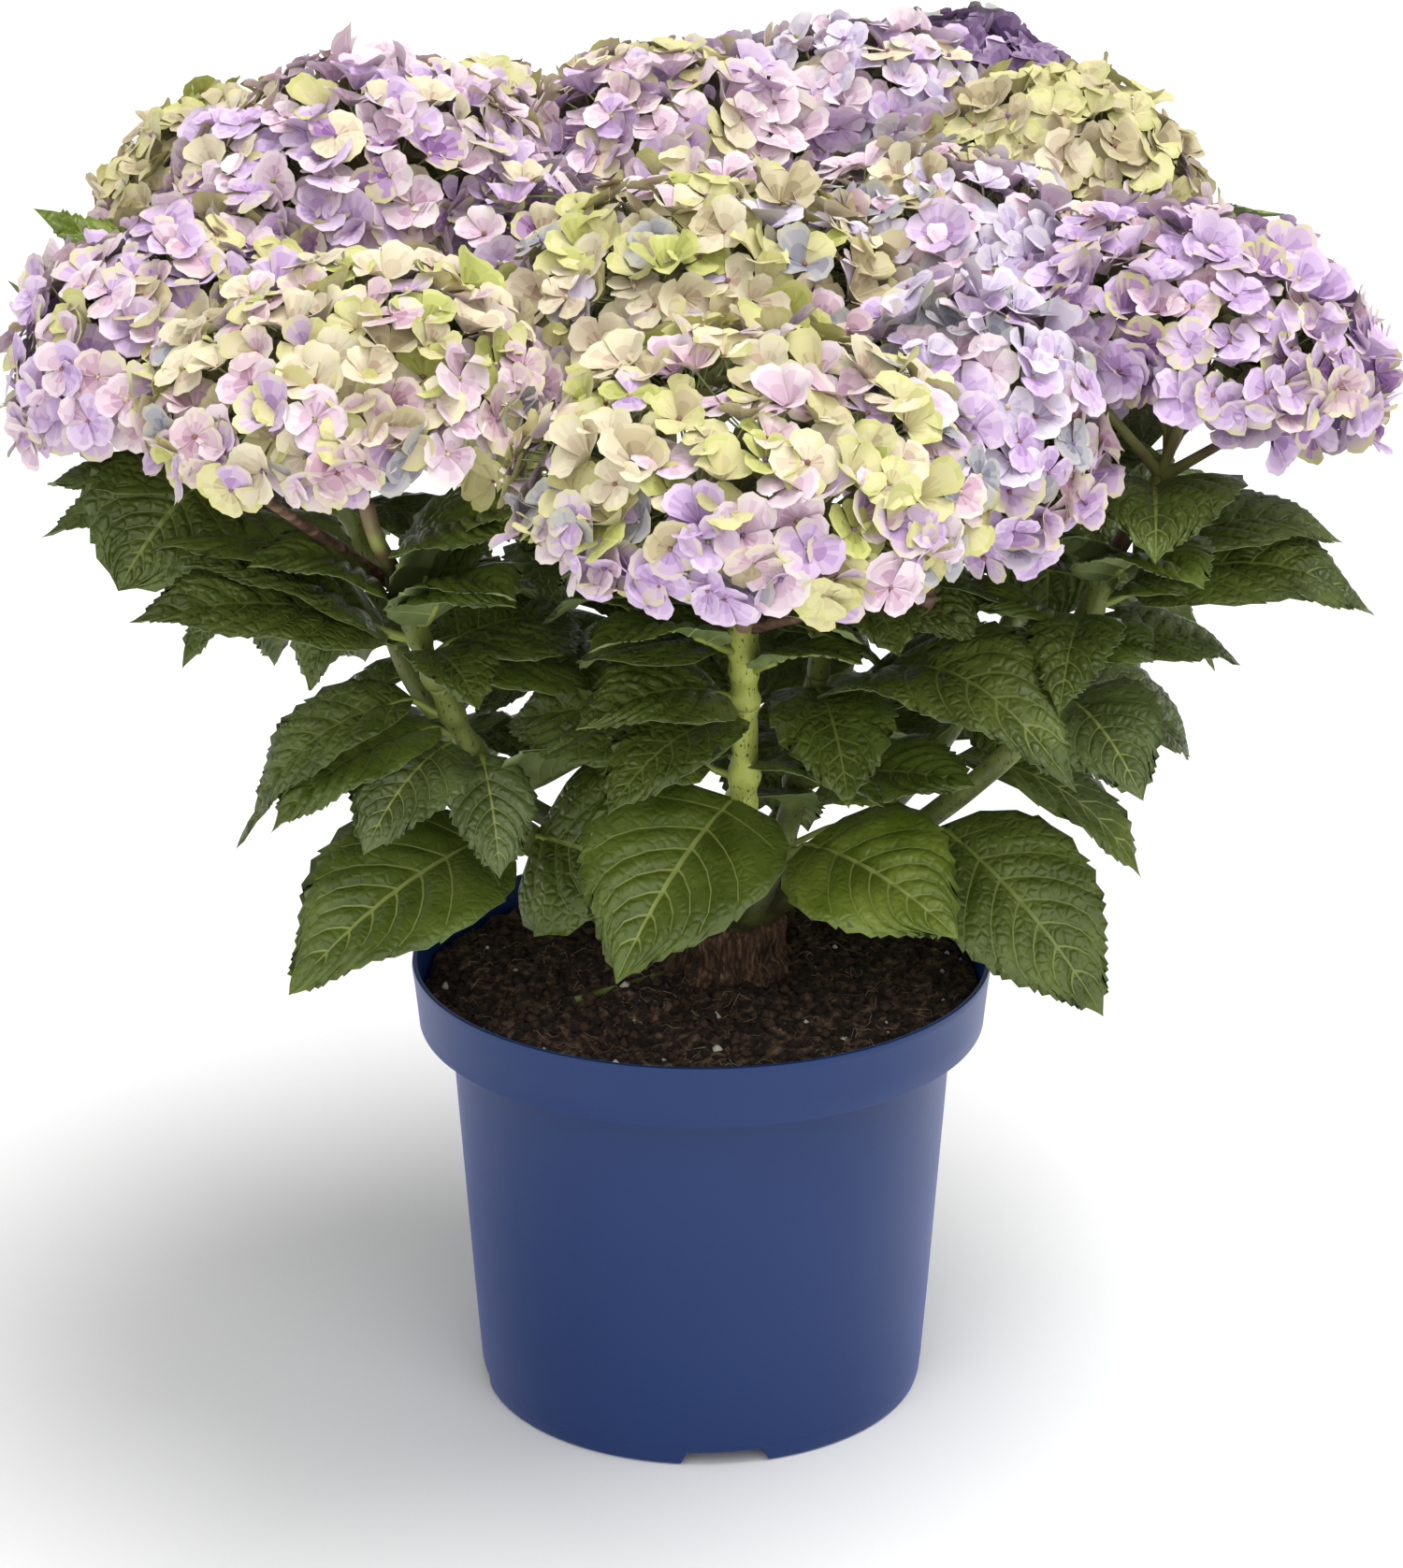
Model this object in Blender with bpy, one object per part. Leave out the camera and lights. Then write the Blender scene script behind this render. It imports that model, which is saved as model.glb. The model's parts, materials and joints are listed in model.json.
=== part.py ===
"""Mophead hydrangea shrub in a round nursery pot.

Metres, +Z up. The origin is the middle of the pot's flat underside, and -Y is the front.
Pot and soil carry a woody stump. Canes rise from the stump's facets, single leaves hang from
the canes, a leafy shoot grows on from each cane's tip, and each arm of a shoot carries one
domed flower head.
"""

import math
import random

import bmesh
import bpy
from mathutils import Matrix, Vector
from mathutils.bvhtree import BVHTree

# Fits
GAP = 0.0003
SEED = 7

# Pot
POT_HEIGHT = 0.205
RIM_RADIUS = 0.130
COLLAR_RADIUS = 0.1272
COLLAR_HEIGHT = 0.027
BODY_TOP_RADIUS = 0.1130
FOOT_RADIUS = 0.1010
WALL = 0.0020
RIM_WALL = 0.0026
RIM_BEVEL = 0.0011
FOOT_BEVEL = 0.0020
PAD_RADIUS = 0.050
PAD_SLOPE = 0.0035
GUTTER_OUTER_RADIUS = 0.090
GUTTER_HEIGHT = 0.0090
POT_SEGMENTS = 36
DRAIN_HOLES = 8
DRAIN_HOLE_RADIUS = 0.0060
DRAIN_HOLE_SIDES = 10
FOOT_NOTCHES = 4
FOOT_NOTCH_WIDTH = 0.040
FOOT_NOTCH_HEIGHT = 0.0070
FOOT_NOTCH_DEPTH = 0.030
FOOT_NOTCH_DRAFT = 0.0030
FOOT_NOTCH_AZIMUTH = math.radians(-84)

# Soil
SOIL_EDGE_HEIGHT = 0.1865
SOIL_CROWN_HEIGHT = 0.1925
SOIL_ROUGHNESS = 0.0016
SOIL_RING_SHARES = (1.00, 0.80, 0.50)
SOIL_LEVEL_RADIUS = 0.070

# Stump, an eight-sided foot whose slanting facets each seat one cane
STUMP_CENTRE = Vector((0.012, 0.014, 0.0))
STUMP_FLARE_RADIUS = 0.034
STUMP_WAIST_RADIUS = 0.0245
STUMP_SHOULDER_RADIUS = 0.0265
STUMP_TOP_RADIUS = 0.0135
STUMP_WAIST_RISE = 0.010
STUMP_SHOULDER_RISE = 0.022
STUMP_TOP_RISE = 0.038
STUMP_FACETS = 8
STUMP_PEAK = 0.003
STUMP_CLEARANCE = GAP
FIRST_FACET_AZIMUTH = math.radians(20)

# Canes: facet number, foot radius, tip radius, then the points that the cane passes through
CANES = {
    "cane_right_back": (
        0, 0.0056, 0.0047,
        ((0.088, 0.045, 0.262), (0.128, 0.068, 0.312), (0.146, 0.080, 0.348)),
    ),
    "cane_back_right": (
        1, 0.0058, 0.0048,
        ((0.052, 0.084, 0.268), (0.070, 0.118, 0.318), (0.078, 0.132, 0.352)),
    ),
    "cane_back": (
        2, 0.0056, 0.0047,
        ((-0.018, 0.088, 0.268), (-0.034, 0.128, 0.320), (-0.040, 0.142, 0.354)),
    ),
    "cane_left_back": (
        3, 0.0054, 0.0046,
        ((-0.084, 0.046, 0.262), (-0.126, 0.055, 0.308), (-0.142, 0.060, 0.342)),
    ),
    "cane_left": (
        4, 0.0056, 0.0046,
        ((-0.074, -0.016, 0.264), (-0.100, -0.042, 0.318), (-0.112, -0.058, 0.352)),
    ),
    "cane_front": (
        5, 0.0063, 0.0056,
        ((0.012, -0.046, 0.268), (0.018, -0.066, 0.311), (0.018, -0.078, 0.350)),
    ),
    "cane_front_right": (
        6, 0.0060, 0.0050,
        ((0.037, -0.018, 0.270), (0.045, -0.030, 0.315), (0.050, -0.040, 0.350)),
    ),
    "cane_right": (
        7, 0.0060, 0.0050,
        ((0.088, -0.005, 0.262), (0.136, -0.018, 0.308), (0.156, -0.028, 0.346)),
    ),
}
CANE_SIDES = 7
CANE_STEPS = 3
CANE_STRAIGHT = 0.020

# Flower heads: cane, centre of the dome's widest ring, half width, height of the dome, tint
HEADS = {
    "head_front": ("cane_front", (0.018, -0.190, 0.463), 0.100, 0.074, "cream"),
    "head_front_left": ("cane_left", (-0.142, -0.135, 0.487), 0.085, 0.066, "cream"),
    "head_middle": ("cane_front", (0.000, -0.050, 0.508), 0.090, 0.068, "cream"),
    "head_left": ("cane_left", (-0.218, -0.030, 0.482), 0.078, 0.070, "lilac"),
    "head_upper_left": ("cane_left_back", (-0.150, 0.050, 0.535), 0.088, 0.068, "lilac"),
    "head_top_middle": ("cane_back", (-0.010, 0.115, 0.538), 0.080, 0.060, "lilac"),
    "head_top_right": ("cane_back_right", (0.068, 0.150, 0.551), 0.072, 0.052, "lilac"),
    "head_violet": ("cane_back_right", (0.124, 0.225, 0.545), 0.058, 0.046, "violet"),
    "head_lime": ("cane_right_back", (0.158, 0.110, 0.532), 0.071, 0.056, "lime"),
    "head_middle_right": ("cane_front_right", (0.103, 0.020, 0.514), 0.078, 0.056, "lilac"),
    "head_right": ("cane_right", (0.207, -0.045, 0.486), 0.084, 0.068, "lilac"),
    "head_front_right": ("cane_front_right", (0.106, -0.108, 0.462), 0.076, 0.082, "lilac"),
    "head_left_back": ("cane_left_back", (-0.210, 0.130, 0.520), 0.068, 0.054, "lime"),
    "head_back_left": ("cane_back", (-0.110, 0.200, 0.512), 0.082, 0.060, "cream"),
    "head_back": ("cane_back", (0.015, 0.240, 0.510), 0.080, 0.060, "lilac"),
    "head_back_right": ("cane_right_back", (0.178, 0.205, 0.488), 0.066, 0.052, "cream"),
}
HEAD_LEAN_PER_METRE = math.radians(62)
HEAD_LOWEST_POLAR = math.radians(106)
HEAD_UNDERSIDE_SHARE = 0.42
HEAD_SPACE_GAP = 0.0030
CORE_INSET = 0.0125
CORE_SIDES = 8
CORE_POLARS = (math.radians(34), math.radians(66), math.radians(94))
NECK_DROP_SHARE = 0.46
FOOT_DROP_SHARE = 0.78
PEDUNCLE_RADIUS = 0.0040
NECK_SWELL = 1.6
FLORET_AREA = 0.00205
FLORET_RADIUS = 0.0195
FLORET_NOTCH_SHARE = 0.56
FLORET_SIZES = (1.0, 0.84, 0.68)
FLORET_LOBES = 4
FLORET_LOBE_HALF_ANGLE = math.radians(21)
FLORET_DISH = 0.0035
FLORET_THICKNESS = 0.0030
FLORET_STALK_RADIUS = 0.0021
FLORET_STALK_DEPTH = 0.0200
GOLDEN_ANGLE = math.pi * (3 - math.sqrt(5))

# Shoots, each a stem that grows on from a cane's tip and forks into one arm per head
SHOOT_SIDES = 6
ARM_SIDES = 5
SHOOT_STEPS = 3
SHOOT_STRAIGHT = 0.012
SHOOT_TAPER = 0.9
ARM_STEPS = 5
ARM_FOOT_RADIUS = 0.0040
ARM_BURY = 0.012
FORKS = {
    "cane_right_back": (0.158, 0.098, 0.396),
    "cane_back_right": (0.084, 0.148, 0.402),
    "cane_back": (-0.042, 0.156, 0.400),
    "cane_left_back": (-0.160, 0.072, 0.396),
    "cane_left": (-0.126, -0.082, 0.406),
    "cane_front": (0.017, -0.092, 0.396),
    "cane_front_right": (0.062, -0.056, 0.396),
    "cane_right": (0.172, -0.038, 0.398),
}

# Leaves: limb, height of the leaf's node on it, tip, leaf stalk, blade width, roll in degrees, arch.
# A limb named for a head is the arm that carries it.
LEAVES = (
    ("cane_left", 0.262, (-0.176, -0.100, 0.226), 0.026, 0.088, -22, 0.10),
    ("cane_left", 0.268, (-0.022, -0.064, 0.268), 0.004, 0.084, 52, 0.06),
    ("cane_left", 0.318, (-0.142, -0.106, 0.292), 0.014, 0.050, -10, 0.12),
    ("cane_left", 0.312, (-0.086, -0.082, 0.272), 0.010, 0.038, 0, 0.10),
    ("cane_left", 0.336, (-0.192, -0.062, 0.292), 0.018, 0.046, -20, 0.16),
    ("cane_left", 0.356, (-0.045, -0.030, 0.342), 0.014, 0.060, 20, 0.12),
    ("cane_left", 0.384, (-0.074, -0.150, 0.418), 0.016, 0.056, 10, 0.16),
    ("cane_left", 0.376, (-0.234, -0.122, 0.400), 0.022, 0.066, -22, 0.10),
    ("head_front_left", 0.424, (-0.066, -0.158, 0.446), 0.014, 0.046, 15, 0.14),
    ("cane_front", 0.300, (-0.036, -0.135, 0.246), 0.006, 0.092, -16, 0.10),
    ("cane_front", 0.314, (-0.046, -0.064, 0.330), 0.012, 0.050, -20, 0.12),
    ("cane_front", 0.352, (-0.052, -0.118, 0.352), 0.012, 0.062, -20, 0.14),
    ("cane_front", 0.376, (-0.046, -0.150, 0.396), 0.020, 0.046, 8, 0.12),
    ("cane_front", 0.366, (0.066, -0.128, 0.384), 0.012, 0.040, 0, 0.10),
    ("cane_front", 0.384, (-0.062, -0.050, 0.392), 0.012, 0.052, -10, 0.12),
    ("cane_front_right", 0.262, (0.110, -0.088, 0.247), 0.016, 0.074, 22, 0.10),
    ("cane_front_right", 0.296, (0.116, -0.086, 0.316), 0.016, 0.054, 20, 0.06),
    ("cane_front_right", 0.338, (0.153, -0.150, 0.336), 0.016, 0.070, 10, 0.24),
    ("cane_front_right", 0.366, (-0.010, 0.020, 0.380), 0.012, 0.054, 0, 0.12),
    ("cane_right", 0.262, (0.174, -0.076, 0.206), 0.022, 0.072, 30, 0.12),
    ("cane_right", 0.334, (0.186, -0.094, 0.312), 0.012, 0.056, 15, 0.14),
    ("cane_right", 0.326, (0.218, 0.016, 0.292), 0.014, 0.062, 20, 0.14),
    ("cane_right", 0.354, (0.236, -0.004, 0.342), 0.012, 0.046, 20, 0.16),
    ("cane_right", 0.380, (0.288, -0.038, 0.376), 0.022, 0.068, 22, 0.20),
    ("cane_right", 0.372, (0.146, -0.132, 0.362), 0.014, 0.040, 0, 0.14),
    ("cane_right", 0.392, (0.204, -0.128, 0.416), 0.012, 0.056, 10, 0.12),
    ("cane_left_back", 0.390, (-0.288, 0.004, 0.398), 0.030, 0.056, -20, 0.10),
    ("head_lime", 0.462, (0.262, 0.136, 0.500), 0.020, 0.040, 0, 0.08),
    ("head_left_back", 0.440, (-0.306, 0.066, 0.498), 0.018, 0.036, 0, -0.10),
    ("head_upper_left", 0.436, (-0.064, 0.012, 0.440), 0.014, 0.060, 20, 0.06),
)

# Leaf pairs by rule on the canes behind: each pair stands across the one under it
PAIRED_CANES = ("cane_left_back", "cane_back", "cane_back_right", "cane_right_back")
PAIR_HEIGHTS = (0.275, 0.362, 0.388)
PAIR_REACH = (0.104, 0.094, 0.100)
PAIR_FALL = (0.042, 0.040, 0.016)
PAIR_SPREADS = (math.radians(36), math.radians(54), math.radians(38))
PAIR_STAGGER = (0.000, 0.010)
PAIR_WIDTH_SHARE = 0.58
PAIR_STALK = 0.018
PAIR_ARCH = 0.14
PAIR_JITTER = 0.06
# Places of the rule, as (cane, pair, side), where a neighbour stands in the way
PAIR_GAPS = {("cane_left_back", 2, 1), ("cane_right_back", 1, 1)}

# Blade outline, as shares of its length and of its half width
BLADE_STATIONS = ((0.08, 0.54), (0.28, 1.00), (0.54, 0.92), (0.80, 0.52))
BLADE_FOLD = math.radians(14)
BLADE_THICKNESS_SHARE = 0.022
LEAF_STALK_RISE = math.radians(22)
LEAF_STALK_RADIUS = 0.0021
LEAF_STALK_SIDES = 4
LEAF_STALK_STEPS = 2
LEAF_STALK_BURY_SHARE = 0.14
LEAF_STALK_BEND = 0.4
LEAF_STALK_TAPER = 0.5

# A thin sprout lies on the soil in front of the stump
SPROUT = ((-0.0165, -0.0038, 0.1953), (-0.032, -0.014, 0.1950), (-0.056, -0.030, 0.1946))
SPROUT_RADIUS = 0.0024
SPROUT_TAPER = 0.7
SPROUT_SIDES = 5
SPROUT_STEPS = 3

COLOURS = {
    "pot_plastic": ("#2f4a86", 0.42),
    "potting_soil": ("#2a1d17", 0.95),
    "old_wood": ("#5a4336", 0.85),
    "cane_bark": ("#6f8a3c", 0.55),
    "leaf_green": ("#2f5a2c", 0.50),
    "floret_cream": ("#d9d3a6", 0.60),
    "floret_lilac": ("#c3a2dc", 0.60),
    "floret_violet": ("#6a55a4", 0.60),
    "floret_lime": ("#bccb78", 0.60),
}


def linear(channel):
    """One sRGB channel as the linear value that a shader takes."""
    return channel / 12.92 if channel <= 0.04045 else ((channel + 0.055) / 1.055) ** 2.4


def material(name):
    """The material of this name, made on first use from its colour and roughness."""
    found = bpy.data.materials.get(name)
    if found:
        return found
    colour, roughness = COLOURS[name]
    made = bpy.data.materials.new(name)
    made.use_nodes = True
    shader = made.node_tree.nodes["Principled BSDF"]
    channels = [linear(int(colour[i : i + 2], 16) / 255) for i in (1, 3, 5)]
    shader.inputs["Base Color"].default_value = (*channels, 1)
    shader.inputs["Roughness"].default_value = roughness
    shader.inputs["Metallic"].default_value = 0
    return made


def clear_scene():
    for thing in list(bpy.data.objects):
        bpy.data.objects.remove(thing, do_unlink=True)


def add_object(name, shape, slot, collection=None):
    """An object from (points, faces), its faces turned outward and shaded smooth but for sharp edges."""
    mesh = bpy.data.meshes.new(name)
    mesh.from_pydata([tuple(point) for point in shape[0]], [], shape[1])
    work = bmesh.new()
    work.from_mesh(mesh)
    bmesh.ops.recalc_face_normals(work, faces=work.faces)
    work.to_mesh(mesh)
    work.free()
    mesh.materials.append(material(slot))
    mesh.shade_smooth()
    mesh.set_sharp_from_angle(angle=math.radians(38))
    made = bpy.data.objects.new(name, mesh)
    (collection or bpy.context.scene.collection).objects.link(made)
    return made


def turned(profile, segments, lift=None):
    """A closed shape turned about Z from (radius, height) points; a radius of 0 is a single point."""
    points = []
    rings = []
    for radius, height in profile:
        count = segments if radius > 0 else 1
        rings.append(range(len(points), len(points) + count))
        for i in range(count):
            turn = 2 * math.pi * i / segments
            point = Vector((radius * math.cos(turn), radius * math.sin(turn), height))
            points.append(point + (lift(point) if lift else Vector()))
    faces = []
    for low, high in zip(rings, rings[1:]):
        for i in range(segments):
            a, b = low[i % len(low)], low[(i + 1) % len(low)]
            c, d = high[(i + 1) % len(high)], high[i % len(high)]
            faces.append(list(dict.fromkeys((a, b, c, d))))
    return points, faces


def pot_inner_profile(clearance):
    """The pot's inner wall from the middle of its floor to its collar, moved inward by the clearance."""
    body_foot = FOOT_RADIUS - WALL - clearance
    ledge = POT_HEIGHT - COLLAR_HEIGHT + clearance
    return (
        (0, WALL + clearance),
        (PAD_RADIUS - clearance, WALL + clearance),
        (PAD_RADIUS + PAD_SLOPE - clearance, GUTTER_HEIGHT + WALL + clearance),
        (body_foot, GUTTER_HEIGHT + WALL + clearance),
        (BODY_TOP_RADIUS - WALL - clearance, ledge),
        (COLLAR_RADIUS - WALL - clearance, ledge + WALL / 2),
    )


def build_pot():
    """A tapered pot with a stepped collar, a gutter with drain holes and a notched foot ring."""
    collar_foot = POT_HEIGHT - COLLAR_HEIGHT
    outer = [
        (0, 0),
        (PAD_RADIUS, 0),
        (PAD_RADIUS + PAD_SLOPE, GUTTER_HEIGHT),
        (GUTTER_OUTER_RADIUS, GUTTER_HEIGHT),
        (GUTTER_OUTER_RADIUS + FOOT_BEVEL, 0),
        (FOOT_RADIUS - FOOT_BEVEL, 0),
        (FOOT_RADIUS, FOOT_BEVEL * 1.5),
        (BODY_TOP_RADIUS, collar_foot - WALL),
        (COLLAR_RADIUS, collar_foot - WALL / 2),
        (RIM_RADIUS, POT_HEIGHT - RIM_BEVEL),
        (RIM_RADIUS - RIM_BEVEL, POT_HEIGHT),
        (RIM_RADIUS - RIM_WALL, POT_HEIGHT),
    ]
    inner = list(reversed(pot_inner_profile(0)))
    pot = add_object("pot", turned(outer + inner, POT_SEGMENTS), "pot_plastic")
    cutters = bpy.data.collections.new("pot cutters")
    bpy.context.scene.collection.children.link(cutters)
    hole_ring = (PAD_RADIUS + GUTTER_OUTER_RADIUS) / 2
    for i in range(DRAIN_HOLES):
        turn = FOOT_NOTCH_AZIMUTH + 2 * math.pi * i / DRAIN_HOLES
        centre = Vector((hole_ring * math.cos(turn), hole_ring * math.sin(turn), GUTTER_HEIGHT))
        add_cutter(f"drain hole {i + 1}", centre, DRAIN_HOLE_RADIUS, 6 * WALL, cutters)
    for i in range(FOOT_NOTCHES):
        turn = FOOT_NOTCH_AZIMUTH + 2 * math.pi * i / FOOT_NOTCHES
        add_notch_cutter(f"foot notch {i + 1}", turn, cutters)
    cut = pot.modifiers.new("Holes and notches", "BOOLEAN")
    cut.operation = "DIFFERENCE"
    cut.operand_type = "COLLECTION"
    cut.collection = cutters
    return pot


def add_cutter(name, centre, radius, height, collection):
    """A short upright cylinder that cuts a round hole."""
    profile = ((0, -height / 2), (radius, -height / 2), (radius, height / 2), (0, height / 2))
    points, faces = turned(profile, DRAIN_HOLE_SIDES)
    placed = [point + centre for point in points]
    cutter = add_object(name, (placed, faces), "pot_plastic", collection)
    cutter.hide_render = True
    cutter.display_type = "WIRE"


def add_notch_cutter(name, turn, collection):
    """A block, narrower at its top, that cuts one notch through the foot ring."""
    middle = FOOT_RADIUS - WALL
    outward = Vector((math.cos(turn), math.sin(turn), 0))
    across = Vector((-outward.y, outward.x, 0))
    points = []
    for height, draft in ((-FOOT_NOTCH_HEIGHT, FOOT_NOTCH_DRAFT), (FOOT_NOTCH_HEIGHT, -FOOT_NOTCH_DRAFT)):
        half = FOOT_NOTCH_WIDTH / 2 + draft
        for out, side in ((-1, -1), (1, -1), (1, 1), (-1, 1)):
            along = middle + out * FOOT_NOTCH_DEPTH / 2
            points.append(outward * along + across * side * half + Vector((0, 0, height)))
    faces = [(0, 3, 2, 1), (4, 5, 6, 7), (0, 1, 5, 4), (1, 2, 6, 5), (2, 3, 7, 6), (3, 0, 4, 7)]
    cutter = add_object(name, (points, faces), "pot_plastic", collection)
    cutter.hide_render = True
    cutter.display_type = "WIRE"


def soil_height(radius):
    """Height of the soil's smooth top at this distance from the pot's axis."""
    share = min(radius / (COLLAR_RADIUS - WALL), 1)
    return SOIL_CROWN_HEIGHT + (SOIL_EDGE_HEIGHT - SOIL_CROWN_HEIGHT) * share**2


def build_soil():
    """A plug of soil that fills the pot, a little mounded and uneven on top."""
    chance = random.Random(SEED)
    edge = COLLAR_RADIUS - WALL - GAP
    profile = list(pot_inner_profile(GAP))
    for share in SOIL_RING_SHARES:
        profile.append((edge * share, soil_height(edge * share)))
    profile.append((0, SOIL_CROWN_HEIGHT))

    def uneven(point):
        loose = SOIL_LEVEL_RADIUS < point.xy.length < edge - WALL and point.z > SOIL_EDGE_HEIGHT
        return Vector((0, 0, chance.uniform(-SOIL_ROUGHNESS, SOIL_ROUGHNESS) if loose else 0))

    return add_object("soil", turned(profile, POT_SEGMENTS, uneven), "potting_soil")


def stump_base():
    return SOIL_CROWN_HEIGHT + STUMP_CLEARANCE


def facet_azimuth(number):
    return FIRST_FACET_AZIMUTH + 2 * math.pi * number / STUMP_FACETS


def facet_seat(number):
    """Middle of one slanting facet of the stump and the facet's outward direction."""
    apothem = math.cos(math.pi / STUMP_FACETS)
    out = Vector((math.cos(facet_azimuth(number)), math.sin(facet_azimuth(number)), 0))
    low = STUMP_CENTRE + out * STUMP_SHOULDER_RADIUS * apothem
    low.z = stump_base() + STUMP_SHOULDER_RISE
    high = STUMP_CENTRE + out * STUMP_TOP_RADIUS * apothem
    high.z = stump_base() + STUMP_TOP_RISE
    along = (high - low).normalized()
    normal = out * along.z + Vector((0, 0, along.dot(-out)))
    return (low + high) / 2, normal.normalized()


def build_stump():
    """The woody foot of the plant, flared at the soil, with a flat cut under it."""
    base = stump_base()
    profile = (
        (0, base),
        (STUMP_FLARE_RADIUS, base),
        (STUMP_WAIST_RADIUS, base + STUMP_WAIST_RISE),
        (STUMP_SHOULDER_RADIUS, base + STUMP_SHOULDER_RISE),
        (STUMP_TOP_RADIUS, base + STUMP_TOP_RISE),
        (0, base + STUMP_TOP_RISE + STUMP_PEAK),
    )
    points, faces = turned(profile, STUMP_FACETS)
    corner = FIRST_FACET_AZIMUTH + math.pi / STUMP_FACETS
    turn = Matrix.Rotation(corner, 3, "Z")
    return add_object("stump", ([turn @ point + STUMP_CENTRE for point in points], faces), "old_wood")


def smooth_path(points, first_direction, steps):
    """Points along a smooth curve through the given ones, leaving the first in the given direction."""
    before = points[0] - first_direction * (points[1] - points[0]).length
    after = points[-1] * 2 - points[-2]
    knots = [before, *points, after]
    path = []
    for a, b, c, d in zip(knots, knots[1:], knots[2:], knots[3:]):
        for step in range(steps):
            t = step / steps
            bend = (c - a) * t + (a * 2 - b * 5 + c * 4 - d) * t**2 + (b * 3 - a - c * 3 + d) * t**3
            path.append(b + bend / 2)
    return [*path, points[-1]]


def bezier_path(a, b, c, d, steps):
    path = []
    for step in range(steps + 1):
        t = step / steps
        s = 1 - t
        path.append(a * s**3 + b * 3 * s * s * t + c * 3 * s * t * t + d * t**3)
    return path


def tube(path, radii, sides, first_direction=None, last_direction=None):
    """A closed tube along a path, with flat ends square to the directions given for them."""
    directions = [path[1] - path[0]]
    directions += [after - before for before, after in zip(path, path[2:])]
    directions.append(path[-1] - path[-2])
    directions[0] = first_direction or directions[0]
    directions[-1] = last_direction or directions[-1]
    side = directions[0].orthogonal().normalized()
    points = []
    for centre, direction, radius in zip(path, directions, radii):
        direction = direction.normalized()
        side = (side - direction * side.dot(direction)).normalized()
        other = direction.cross(side)
        for i in range(sides):
            turn = 2 * math.pi * i / sides
            points.append(centre + (side * math.cos(turn) + other * math.sin(turn)) * radius)
    faces = [tuple(reversed(range(sides))), tuple(range(len(points) - sides, len(points)))]
    for ring in range(len(path) - 1):
        for i in range(sides):
            a = ring * sides + i
            b = ring * sides + (i + 1) % sides
            faces.append((a, b, b + sides, a + sides))
    return points, faces


def tapered(count, first, last):
    return [first + (last - first) * i / (count - 1) for i in range(count)]


def cane_path(name):
    """The cane's centreline from its facet to its tip, and its direction at both ends."""
    facet, _, _, through = CANES[name]
    seat, normal = facet_seat(facet)
    start = seat + normal * GAP
    points = [start, start + normal * CANE_STRAIGHT, *map(Vector, through)]
    path = smooth_path(points, normal, CANE_STEPS)
    return path, normal, (path[-1] - path[-2]).normalized()


def shoot_path(name):
    """The shoot's centreline, which goes on from its cane's tip to the fork."""
    path, _, direction = cane_path(name)
    start = path[-1] + direction * GAP
    points = [start, start + direction * SHOOT_STRAIGHT, Vector(FORKS[name])]
    return smooth_path(points, direction, SHOOT_STEPS), direction


def point_at_height(path, height):
    """The point where a rising path passes a height."""
    for low, high in zip(path, path[1:]):
        if low.z <= height <= high.z:
            return low.lerp(high, (height - low.z) / (high.z - low.z))
    return path[-1].copy()


def head_frame(name):
    """A head's centre, its axis, which leans away from the crown's middle, and its half sizes."""
    _, centre, half_width, height, _ = HEADS[name]
    centre = Vector(centre)
    outward = Vector((centre.x, centre.y, 0))
    lean = HEAD_LEAN_PER_METRE * outward.length
    turn = Matrix.Rotation(lean, 3, Vector((0, 0, 1)).cross(outward.normalized()))
    return centre, turn, half_width, height


def dome_point(polar, azimuth, half_width, height):
    """A point of the dome in its own frame: round and high above its widest ring, shallow under it."""
    rise = height if polar <= math.pi / 2 else height * HEAD_UNDERSIDE_SHARE
    across = half_width * math.sin(polar)
    return Vector((across * math.cos(azimuth), across * math.sin(azimuth), rise * math.cos(polar)))


def dome_normal(point, half_width, height):
    rise = height if point.z >= 0 else height * HEAD_UNDERSIDE_SHARE
    flat = half_width * half_width
    return Vector((point.x / flat, point.y / flat, point.z / (rise * rise))).normalized()


def reach_towards(name, direction):
    """Distance from a head's centre to its surface in a world direction."""
    _, turn, half_width, height = head_frame(name)
    local = turn.transposed() @ direction
    return 1 / math.sqrt((local.x**2 + local.y**2) / half_width**2 + (local.z / height) ** 2)


def space_limits(name):
    """Planes, as (point, outward direction), that part this head's space from those of its neighbours."""
    centre = head_frame(name)[0]
    limits = []
    for other in HEADS:
        if other == name:
            continue
        apart = head_frame(other)[0] - centre
        direction = apart.normalized()
        own = reach_towards(name, direction)
        others = reach_towards(other, -direction)
        if own + others > apart.length - HEAD_SPACE_GAP:
            share = own / (own + others) * apart.length
            limits.append((centre + direction * (share - HEAD_SPACE_GAP / 2), direction))
    return limits


def inside(point, limits):
    return all((point - at).dot(direction) <= 0 for at, direction in limits)


def pulled_inside(point, centre, limits):
    """The point, drawn towards the centre until no limit cuts it off."""
    share = 1.0
    for at, direction in limits:
        beyond = (point - centre).dot(direction)
        if beyond > 0:
            share = min(share, (at - centre).dot(direction) / beyond)
    return centre + (point - centre) * share


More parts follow.
